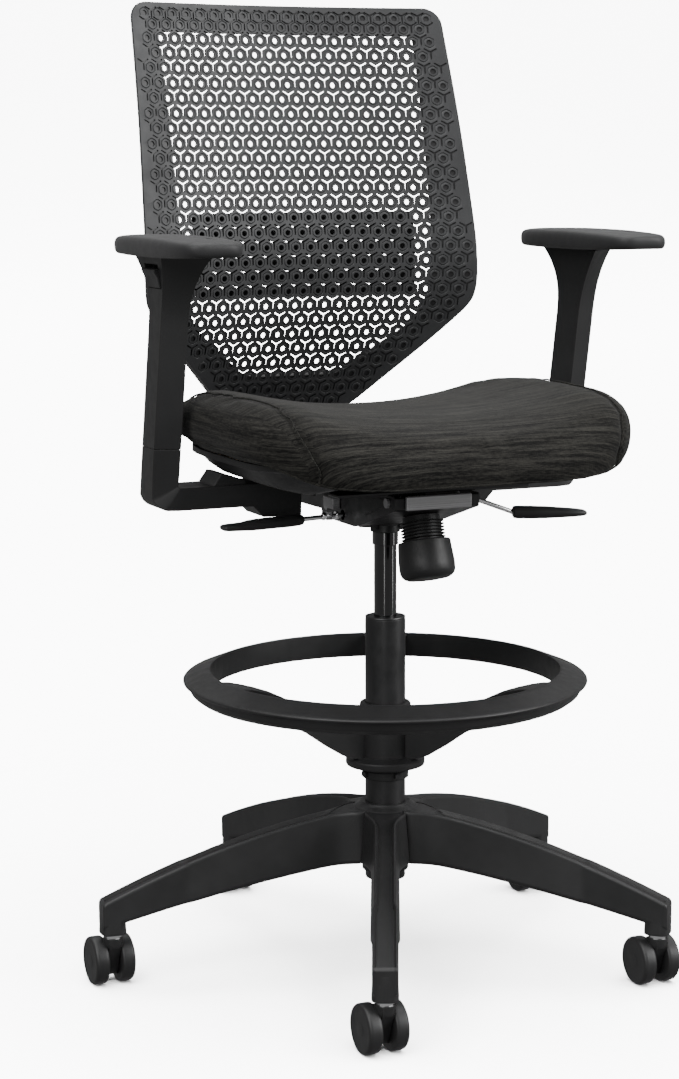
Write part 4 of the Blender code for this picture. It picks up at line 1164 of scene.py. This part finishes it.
def make_sleeve(side, label, sizes):
    """The sliding sleeve, whose head spreads under the pad."""
    bottom = SHOULDER + 0.0005
    rings = [
        arm_section(side, 0.8055, sizes, 0.003), arm_section(side, bottom, sizes, 0.003),
        arm_section(side, bottom, sizes), arm_section(side, 0.700, sizes), arm_section(side, 0.780, sizes),
    ]
    start, top = 0.800, PAD_BOTTOM - 0.0003
    for step in range(0, 13):
        share = step / 12
        height = start + (top - start) * share
        curve = share**2.4
        rings.append(arm_section(side, height, sizes, 0.0, 0.0085 * share**3, 0.040 * curve, 0.037 * curve))
    shape = loft(rings)
    middle = arm_centre(0.862, sizes)
    outer = sizes.middle_x + sizes.half_width
    near, far = sorted((side * (outer - 0.0061), side * (outer + 0.02)))
    pocket = box((near, middle - 0.0126, 0.8464), (far, middle + 0.0330, 0.8745))
    shape = combined(shape, [pocket], "DIFFERENCE")
    keep(
        f"arm_sleeve_body_{label}", shape, "black_nylon", f"arm_{label}_head", [f"arm_sleeve_{label}"],
        0.0024
    )

    low = outer - 0.0022
    tab = [
        (low, 0.8470), (outer + 0.0030, 0.8470), (outer + 0.0046, 0.8520), (outer + 0.0062, 0.8600),
        (outer + 0.0100, 0.8655), (outer + 0.0104, 0.8690), (outer + 0.0050, 0.8700), (low, 0.8700),
    ]
    tab = rounded_loop([(side * a, b) for a, b in tab], 0.0012, 2)
    shape = prism(tab, middle - 0.0120, middle + 0.0315, lambda a, b, c: (a, c, b))
    keep(
        f"arm_trigger_{label}", shape, "black_nylon", f"arm_{label}_button", [f"arm_button_{label}"],
        0.0007, 2
    )


def make_pad(side, label, sizes):
    """Soft pad: flat under, full at its rim and crowned from end to end."""
    layers = [
        (0.60, 0.0), (0.88, 0.0), (0.93, 0.02), (0.965, 0.09), (0.988, 0.21), (0.999, 0.38), (1.0, 0.56),
        (0.990, 0.72), (0.962, 0.85), (0.915, 0.94), (0.85, 0.982), (0.72, 0.998), (0.50, 1.0),
        (0.25, 1.0),
    ]
    centre_y = -0.018
    rings = []
    for scale, rise in layers:
        reach = 1 - scale
        half_x = sizes.pad_half_x - reach * 0.040
        half_y = sizes.pad_half_y - reach * 0.050
        ring = []
        for point in squared_ring(half_x, half_y, (side * sizes.middle_x, centre_y, 0), 4.4, 96):
            along = (point.y - centre_y) / sizes.pad_half_y
            across = (point.x - side * sizes.middle_x) / sizes.pad_half_x
            crown = 0.9088 - 0.0036 * along**2 - 0.0022 * across**2
            low = PAD_BOTTOM + 0.0008 * abs(along) ** 3 + 0.0032 * max(0.0, -along) ** 1.5
            ring.append((point.x, point.y, low + (crown - low) * rise))
        rings.append(ring)
    pad = keep(
        f"arm_pad_skin_{label}", loft(rings), "black_pad", f"arm_{label}_head", [f"arm_pad_{label}"],
        levels=1
    )


# ------------------------------------------------------------------ back

BACK_BOTTOM, BACK_TOP = 0.660, 1.190
BACK_LINE = [
    (0.655, 0.320), (0.71, 0.290), (0.76, 0.267), (0.82, 0.2515), (0.88, 0.2505), (0.95, 0.264),
    (1.05, 0.288), (1.19, 0.331),
]
FRAME_FRONT, FRAME_BACK = 0.0017, 0.0183
SKIN_THIN = 0.0014
GROOVE_DEPTH = 0.0010
GROOVE_MARK = -0.0001  # where a groove's points stand on the flat plate, to be told from its front
RIM_THICKNESS = 0.0070
BAND_FRONT, BAND_BACK = 0.0090, 0.0115
BOLT_HEIGHT = 0.684


def back_surface(x, z, sizes):
    """The front face of the back: it curves with height, and its sides come forward."""
    return smooth_curve(BACK_LINE, z) - sizes.wrap * x * x


def back_half_width(z):
    """Half width of the shield outline, with rounded corners at its top, waist and bottom."""
    side = 0.2325 - 0.0155 * max(0.0, (z - 0.85) / 0.315)
    slope = 0.096 + (z - 0.672)
    blend = 0.014
    width = (side + slope - math.hypot(side - slope, blend)) / 2
    corner, low_corner = 0.022, 0.018
    drop = z - (BACK_TOP - corner)
    if drop > 0:
        width -= corner - math.sqrt(max(corner**2 - drop**2, 0.0))
    drop = (BACK_BOTTOM + low_corner) - z
    if drop > 0:
        width -= 0.6 * (low_corner - math.sqrt(max(low_corner**2 - drop**2, 0.0)))
    return width


def rim_distance(x, z):
    """How far a point of the back is from its outline."""
    slope = (back_half_width(z + 0.001) - back_half_width(z - 0.001)) / 0.002
    sideways = (back_half_width(z) - abs(x)) / math.hypot(1, slope)
    return min(sideways, BACK_TOP - z, z - BACK_BOTTOM)


def shield_outline(inset=0.0):
    """The back's outline as (across, height) points, closer together at its corners."""
    heights = [BACK_BOTTOM + inset + step for step in (0.0, 0.0006, 0.002, 0.004, 0.007, 0.011, 0.016)]
    heights += [0.685 + 0.012 * step for step in range(8)] + [0.775 + 0.006 * step for step in range(10)]
    heights += [0.845 + 0.0155 * step for step in range(21)]
    heights += [
        BACK_TOP - inset - step
        for step in (0.022, 0.017, 0.0125, 0.0088, 0.0057, 0.0033, 0.0015, 0.0004, 0.0)
    ]
    right = [(back_half_width(z) - inset, z) for z in heights]
    top, bottom = right[-1][0], right[0][0]
    over = [(top * (1 - 2 * step / 24), BACK_TOP - inset) for step in range(1, 24)]
    left = [(-x, z) for x, z in reversed(right)]
    under = [(-bottom * (1 - 2 * step / 10), BACK_BOTTOM + inset) for step in range(1, 10)]
    return right + over + left + under


WINDOW_EDGE = [
    (0.7100, 0.058), (0.7175, 0.076), (0.779, 0.1525), (0.815, 0.1710), (0.924, 0.1775), (1.1525, 0.1795)
]


def divided(loop, spacing):
    """A closed outline with points added along its long sides, so that it can be bent."""
    result = []
    for (x1, z1), (x2, z2) in zip(loop, loop[1:] + loop[:1]):
        count = max(1, round(math.hypot(x2 - x1, z2 - z1) / spacing))
        result += [(x1 + (x2 - x1) * step / count, z1 + (z2 - z1) * step / count) for step in range(count)]
    return result


def window_outline():
    """The opening in the rim frame, a little wider than the band of holes that shows light."""
    right = [(half, z) for z, half in WINDOW_EDGE]
    corners = right + [(-x, z) for x, z in reversed(right)]
    return divided(rounded_loop(corners, 0.010, 4), 0.015)


def row_height(row, sizes):
    """Height of a row of holes. Row 0 is the highest that shows light, and rows above it draw together."""
    above = max(0, -row)
    return sizes.top_row - sizes.row_gap * row - 0.0017 * above**2


def slot_outline(sizes):
    """A three-armed slot about its middle: one arm down, two up to the sides, with round ends."""
    half = sizes.slot_width / 2
    reach = sizes.slot_reach
    points = []
    for arm in range(3):
        turn = math.radians(-90 + 120 * arm)
        ends = [(half * 1.1, -half), (reach - half, -half), (reach - half * 0.3, -half * 0.72), (reach, 0)]
        ends += [(reach - half * 0.3, half * 0.72), (reach - half, half)]
        for along, across in ends:
            points.append((
                along * math.cos(turn) - across * math.sin(turn),
                along * math.sin(turn) + across * math.cos(turn)
            ))
    return points


def lattice(sizes, rows, hole_room, slot_room, room):
    """Middles of the holes and of the slots that have enough room round them."""
    holes, slots = [], []
    for row in rows:
        z = row_height(row, sizes)
        above = row_height(row - 1, sizes)
        shift = 0.0 if row % 2 else 0.5
        for column in range(-13, 14):
            x = (column + shift) * sizes.pitch
            if room(x, z) > hole_room:
                holes.append((x, z))
            x += sizes.pitch / 2
            middle = z + (above - z) / 3
            if room(x, middle) > slot_room:
                slots.append((x, middle))
    return holes, slots


def flat_loop(shape, points):
    corners = [shape.verts.new((x, 0, z)) for x, z in points]
    return [shape.edges.new(pair) for pair in zip(corners, corners[1:] + corners[:1])]


def bead_ring(middle, flat, lean):
    """Twelve points round a bead: flat is how far its sides are, lean the angle from there to a point."""
    radius = flat / math.cos(math.radians(lean))
    turns = [math.radians(60 * number + side * lean) for number in range(6) for side in (-1, 1)]
    return [(middle[0] + radius * math.cos(turn), middle[1] + radius * math.sin(turn)) for turn in turns]


def fill_bead(shape, corners, rings):
    """Fills from a bead's rim to its hole, ring by ring. A ring at GROOVE_MARK is the groove's bottom."""
    for points, level in rings:
        inner = [shape.verts.new((x, level, z)) for x, z in points]
        for index in range(len(inner)):
            shape.faces.new((corners[index - 1], corners[index], inner[index], inner[index - 1]))
        corners = inner


def flat_plate(loops, thickness, slices=None, beads=()):
    """A flat plate from its outline and its openings' outlines, with beads round holes."""
    shape = bmesh.new()
    edges = []
    for points in loops:
        edges += flat_loop(shape, points)
    rims = []
    for rings in beads:
        rims.append([shape.verts.new((x, 0, z)) for x, z in rings[0][0]])
        edges += [shape.edges.new(pair) for pair in zip(rims[-1], rims[-1][1:] + rims[-1][:1])]
    bmesh.ops.triangle_fill(shape, use_beauty=True, use_dissolve=False, edges=edges, normal=(0, -1, 0))
    for corners, rings in zip(rims, beads):
        fill_bead(shape, corners, rings[1:])
    for place, direction in slices or ():
        bmesh.ops.bisect_plane(
            shape, geom=shape.verts[:] + shape.edges[:] + shape.faces[:], plane_co=place,
            plane_no=direction
        )
    made = bmesh.ops.extrude_face_region(shape, geom=shape.faces[:])["geom"]
    back = [item for item in made if isinstance(item, bmesh.types.BMVert)]
    bmesh.ops.translate(shape, verts=back, vec=(0, thickness, 0))
    return close_up(shape)


def bent_to_back(shape, depth, sizes, thickness=None):
    """Lays a flat plate behind the back's surface. A thickness(x, z) replaces the plate's own."""
    for vertex in shape.verts:
        x, y, z = vertex.co
        if thickness and y > 0:
            y = thickness(x, z)
        elif y < 0:
            y = GROOVE_DEPTH
        vertex.co = (x, back_surface(x, z, sizes) + depth + y, z)
    return shape


def make_skin(sizes):
    """The perforated skin of the back."""
    holes, slots = lattice(sizes, range(-2, 26), 0.0112, 0.0102, rim_distance)
    slot = slot_outline(sizes)
    loops = [shield_outline()]
    loops += [[(x + a, z + b) for a, b in slot] for x, z in slots]
    beads = []
    for middle in holes:
        rings = [(bead_ring(middle, 0.0072, 21), 0.0), (bead_ring(middle, 0.0063, 21), GROOVE_MARK)]
        rings += [(bead_ring(middle, 0.0054, 20), 0.0), (bead_ring(middle, sizes.hole_radius, 15), 0.0)]
        beads.append(rings)

    def thickness(x, z):
        """The skin is full over the frame's window and thin in front of the frame."""
        inside = WINDOW_EDGE[0][0] < z < WINDOW_EDGE[-1][0] and abs(x) < smooth_curve(WINDOW_EDGE, z)
        return sizes.skin if inside else SKIN_THIN

    skin = bent_to_back(flat_plate(loops, SKIN_THIN, beads=beads), 0.0, sizes, thickness)
    rim = [
        edge for edge in skin.edges
        if abs(edge.calc_face_angle(0.0)) > 1.0 and edge.calc_length() > 0.0003
        and all(rim_distance(corner.co.x, corner.co.z) < 0.002 for corner in edge.verts)
        and abs(edge.verts[0].co.y - edge.verts[1].co.y) < 0.9 * SKIN_THIN
    ]
    bmesh.ops.bevel(
        skin, geom=rim, offset=0.0006, offset_type="OFFSET", segments=2, profile=0.5, affect="EDGES",
        material=-1, clamp_overlap=True,
    )
    keep("back_skin", skin, "shell_plastic", "back", ["back_shell"])


def make_back_frame(sizes):
    """The rim behind the skin, with its open window."""
    slices = [
        ((x, 0, 0), (1, 0, 0))
        for x in (-0.20, -0.16, -0.12, -0.08, -0.04, 0, 0.04, 0.08, 0.12, 0.16, 0.20)
    ]
    slices += [((0, 0, 0.68 + 0.02 * step), (0, 0, 1)) for step in range(26)]
    plate = flat_plate([shield_outline(0.0008), window_outline()], RIM_THICKNESS, slices)
    deep = FRAME_BACK - FRAME_FRONT - RIM_THICKNESS

    def thickness(x, z):
        """The rim is thin, and deepens at the bottom where the spine bears on it."""
        t = min(1.0, max(0.0, (0.775 - z) / 0.05))
        return RIM_THICKNESS + deep * t * t * (3 - 2 * t)

    plate = bent_to_back(plate, FRAME_FRONT, sizes, thickness)
    keep("back_rim_frame", plate, "black_nylon", "back", ["back_frame"], 0.0014, 2)


def make_band(sizes):
    """The slotted lumbar band that slides between the skin and the frame's window."""
    low, high, half = 0.8190, 0.9245, 0.155
    corners = [(half, low), (half, high), (-half, high), (-half, low)]
    outline = divided(rounded_loop(corners, 0.008, 4), 0.010)

    def room(x, z):
        return min(half - abs(x), z - low, high - z)

    _, slots = lattice(sizes, range(10, 19), 1.0, 0.0105, room)
    slot = [(a * 0.92, b * 0.92) for a, b in slot_outline(sizes)]
    loops = [outline] + [[(x + a, z + b) for a, b in slot] for x, z in slots]
    plate = flat_plate(loops, BAND_BACK - BAND_FRONT)
    keep(
        "back_lumbar_band", bent_to_back(plate, BAND_FRONT, sizes), "black_nylon", "lumbar",
        ["lumbar_band"]
    )


def behind_frame(z, thickness):
    """Middle of a bar that lies against the rim frame's rear face."""
    return smooth_curve(BACK_LINE, z) + FRAME_BACK + 0.002 + thickness / 2


def make_spine():
    """The J-shaped bar from the recline shaft to the back, with holes for the shaft and two bolts."""
    stations = [
        (0.034, 0.5700, 0.049, 0.026), (0.068, 0.5700, 0.049, 0.026), (0.078, 0.5700, 0.034, 0.024),
        (0.120, 0.5680, 0.031, 0.023), (0.200, 0.5660, 0.030, 0.022), (0.240, 0.5685, 0.0305, 0.021),
        (0.275, 0.5760, 0.032, 0.020), (0.305, 0.5890, 0.037, 0.018), (0.328, 0.6110, 0.047, 0.0165),
        (0.338, 0.6350, 0.064, 0.0145),
    ]
    foot = 0.012
    for z, half in ((0.655, 0.080), (0.675, 0.086), (0.695, 0.084), (0.710, 0.076)):
        stations.append((behind_frame(z, foot), z, half, foot))
    rings = []
    for index, (y, z, half, thick) in enumerate(stations):
        before, after = stations[max(index - 1, 0)], stations[min(index + 1, len(stations) - 1)]
        along = Vector((0, after[0] - before[0], after[1] - before[1])).normalized()
        if index < 3:
            along = Vector((0, 1, 0))
        up = Vector((0, -along.z, along.y)) * thick / 2
        middle = Vector((0, y, z))
        across = Vector((half, 0, 0))
        rings.append(
            [middle - across - up, middle + across - up, middle + across + up, middle - across + up]
        )
    spine = loft(rings)
    reach = Vector((0.06, 0, 0))
    shaft = joint_place("back_recline")
    cuts = [rod(shaft - reach, shaft + reach, 0.0063)]
    for side, _ in SIDES:
        face = Vector((side * 0.045, behind_frame(BOLT_HEIGHT, foot) + 0.0075, BOLT_HEIGHT))
        lean = Vector((0, 1, 0.55)).normalized()
        cuts.append(rod(face - lean * 0.007, face + lean * 0.004, 0.0034))
    spine = combined(spine, cuts, "DIFFERENCE")
    keep("back_spine_bar", spine, "black_nylon", "back", ["back_spine"], 0.0030)


# ------------------------------------------------------------------ stage

WORLD_STRENGTH = 0.30
SUNS = (
    ("key_light", (2.4, -2.2, 1.6), 30, 3.4), ("fill_light", (-2.6, -1.6, 2.4), 45, 3.0),
    ("top_light", (0.2, 0.3, 3.0), 70, 4.0), ("floor_light", (-0.1, -0.3, 3.0), 80, 30.0),
)
CAMERA_TURN = math.radians(25)
CAMERA_PITCH = math.radians(8.984)
CAMERA_DISTANCE = 3.0508
CAMERA_HEIGHT = 1.0148


def make_stage():
    """Pale floor that runs up into a pale backdrop all round, soft lights and the camera."""
    shape = bmesh.new()
    profile = [(0.0, 0.0), (9.0, 0.0), (9.6, 0.1), (10.2, 0.35), (10.8, 0.8), (11.3, 1.3), (18.0, 8.0)]
    line = [shape.verts.new((radius, 0, height)) for radius, height in profile]
    edges = [shape.edges.new(pair) for pair in zip(line, line[1:])]
    bmesh.ops.spin(
        shape, geom=line + edges, cent=(0, 0, 0), axis=(0, 0, 1), angle=math.tau, steps=96, use_merge=True
    )
    bmesh.ops.remove_doubles(shape, verts=shape.verts, dist=1e-5)
    bmesh.ops.recalc_face_normals(shape, faces=shape.faces)
    mesh = bpy.data.meshes.new("studio_floor")
    shape.to_mesh(mesh)
    shape.free()
    mesh.shade_smooth()
    material, tree, shader = shader_of("floor_paper", (0.93, 0.93, 0.93), 0.9)
    paper = noise(tree, placed(tree), 40.0, 2.0)
    shades(tree, paper, (0.925, 0.925, 0.925), (0.935, 0.935, 0.935), shader.inputs["Base Color"])
    mesh.materials.append(material)
    floor = bpy.data.objects.new("studio_floor", mesh)
    bpy.context.scene.collection.objects.link(floor)
    floor.visible_diffuse = False
    floor.visible_glossy = False
    floor.visible_shadow = False

    world = bpy.data.worlds.new("studio_world")
    world.use_nodes = True
    world.node_tree.nodes["Background"].inputs["Color"].default_value = (1.0, 1.0, 1.0, 1.0)
    world.node_tree.nodes["Background"].inputs["Strength"].default_value = WORLD_STRENGTH
    bpy.context.scene.world = world
    sweep = bpy.data.collections.new("studio_sweep")
    sweep.objects.link(floor)
    for name, come_from, softness, strength in SUNS:
        light = bpy.data.lights.new(name, "SUN")
        light.angle = math.radians(softness)
        light.energy = strength
        lamp = bpy.data.objects.new(name, light)
        lamp.location = Vector(come_from)
        lamp.rotation_euler = lamp.location.to_track_quat("Z", "Y").to_euler()
        bpy.context.scene.collection.objects.link(lamp)
        if name == "floor_light":
            lamp.light_linking.receiver_collection = sweep

    for name, place, power in (
        ("strip_left", (-1.5, -2.3, 0.9), 9.0), ("strip_right", (2.3, -1.5, 0.9), 12.0)
    ):
        light = bpy.data.lights.new(name, "AREA")
        light.shape = "RECTANGLE"
        light.size = 0.22
        light.size_y = 1.9
        light.energy = power
        lamp = bpy.data.objects.new(name, light)
        lamp.location = place
        lamp.rotation_euler = Vector((*place[:2], 0)).to_track_quat("Z", "Y").to_euler()
        bpy.context.scene.collection.objects.link(lamp)

    lens = bpy.data.cameras.new("camera")
    lens.lens = 83.9
    lens.sensor_width = 36.0
    lens.shift_x = -0.0424
    camera = bpy.data.objects.new("camera", lens)
    away = Vector((-math.sin(CAMERA_TURN), -math.cos(CAMERA_TURN), 0)) * CAMERA_DISTANCE
    camera.location = AXIS + away + Vector((0, 0, CAMERA_HEIGHT))
    camera.rotation_euler = (math.pi / 2 - CAMERA_PITCH, 0, -CAMERA_TURN)
    bpy.context.scene.collection.objects.link(camera)
    bpy.context.scene.camera = camera


# ------------------------------------------------------------------ operators, panel and order


class CHAIR_OT_finishes(bpy.types.Operator):
    """Make the finishes and put them on the frame's own nodes"""
    bl_idname = "chair.finishes"
    bl_label = "Finishes"

    def execute(self, context):
        FINISH.update(make_finishes(context.scene.chair_finishes))
        for name, node in frame["nodes"].items():
            slot = node.data.materials[0].name.split(".")[0] if node.data.materials else "black_nylon"
            node.data.materials.clear()
            node.data.materials.append(FINISH[slot])
        return {"FINISHED"}


class CHAIR_OT_stage(bpy.types.Operator):
    """Set up the floor, the lights and the camera"""
    bl_idname = "chair.stage"
    bl_label = "Stage"

    def execute(self, context):
        make_stage()
        return {"FINISHED"}


class CHAIR_OT_base(bpy.types.Operator):
    """Build the star base"""
    bl_idname = "chair.base"
    bl_label = "Star base"

    def execute(self, context):
        make_base(context.scene.chair_base)
        return {"FINISHED"}


class CHAIR_OT_casters(bpy.types.Operator):
    """Build the five casters"""
    bl_idname = "chair.casters"
    bl_label = "Casters"

    def execute(self, context):
        for number in range(LEG_COUNT):
            make_caster(number, context.scene.chair_base)
        return {"FINISHED"}


class CHAIR_OT_column(bpy.types.Operator):
    """Build the column's tube and piston"""
    bl_idname = "chair.column"
    bl_label = "Column"

    def execute(self, context):
        make_column()
        return {"FINISHED"}


class CHAIR_OT_foot_ring(bpy.types.Operator):
    """Build the foot ring, its spider and its collar"""
    bl_idname = "chair.foot_ring"
    bl_label = "Foot ring"

    def execute(self, context):
        make_foot_ring()
        return {"FINISHED"}


class CHAIR_OT_mechanism(bpy.types.Operator):
    """Build the tilt mechanism, the tension adjuster and the levers"""
    bl_idname = "chair.mechanism"
    bl_label = "Tilt mechanism"

    def execute(self, context):
        make_housing()
        make_tension_adjuster()
        make_levers()
        return {"FINISHED"}


class CHAIR_OT_seat(bpy.types.Operator):
    """Build the seat's pan and stuff its cushion"""
    bl_idname = "chair.seat"
    bl_label = "Seat"

    def execute(self, context):
        make_pan()
        make_cushion(context.scene.chair_seat)
        return {"FINISHED"}


class CHAIR_OT_arms(bpy.types.Operator):
    """Build both arms: bracket, sleeve, trigger and pad"""
    bl_idname = "chair.arms"
    bl_label = "Arms"

    def execute(self, context):
        for side, label in SIDES:
            make_bracket(side, label, context.scene.chair_arms)
            make_sleeve(side, label, context.scene.chair_arms)
            make_pad(side, label, context.scene.chair_arms)
        return {"FINISHED"}


class CHAIR_OT_back(bpy.types.Operator):
    """Build the back: perforated skin, rim frame, lumbar band and spine"""
    bl_idname = "chair.back"
    bl_label = "Back"

    def execute(self, context):
        make_skin(context.scene.chair_back)
        make_back_frame(context.scene.chair_back)
        make_band(context.scene.chair_back)
        make_spine()
        return {"FINISHED"}


STEPS = (
    CHAIR_OT_stage, CHAIR_OT_finishes, CHAIR_OT_base, CHAIR_OT_casters, CHAIR_OT_column, CHAIR_OT_foot_ring,
    CHAIR_OT_mechanism, CHAIR_OT_seat, CHAIR_OT_arms, CHAIR_OT_back,
)


class CHAIR_PT_panel(bpy.types.Panel):
    """Sizes, colours and the pieces in building order"""
    bl_idname = "CHAIR_PT_panel"
    bl_label = "Drafting chair"
    bl_space_type = "VIEW_3D"
    bl_region_type = "UI"
    bl_category = "Chair"

    def draw(self, context):
        for step in STEPS:
            self.layout.operator(step.bl_idname)
        for name in SETTINGS:
            settings = getattr(context.scene, name)
            section = self.layout.box()
            for field in settings.bl_rna.properties.keys():
                if field not in ("rna_type", "name"):
                    section.prop(settings, field)


SETTINGS = {
    "chair_finishes": ChairFinishes, "chair_back": ChairBackSizes, "chair_seat": ChairSeatSizes,
    "chair_base": ChairBaseSizes, "chair_arms": ChairArmSizes,
}
CLASSES = (*SETTINGS.values(), *STEPS, CHAIR_PT_panel)


def register():
    for item in CLASSES:
        bpy.utils.register_class(item)
    for name, group in SETTINGS.items():
        setattr(bpy.types.Scene, name, bpy.props.PointerProperty(type=group))


def unregister():
    for name in SETTINGS:
        delattr(bpy.types.Scene, name)
    for item in reversed(CLASSES):
        bpy.utils.unregister_class(item)


def main():
    register()
    bpy.ops.chair.stage()
    bpy.ops.chair.finishes()
    bpy.ops.chair.base()
    bpy.ops.chair.casters()
    bpy.ops.chair.column()
    bpy.ops.chair.foot_ring()
    bpy.ops.chair.mechanism()
    bpy.ops.chair.seat()
    bpy.ops.chair.arms()
    bpy.ops.chair.back()


if __name__ == "__main__":
    main()
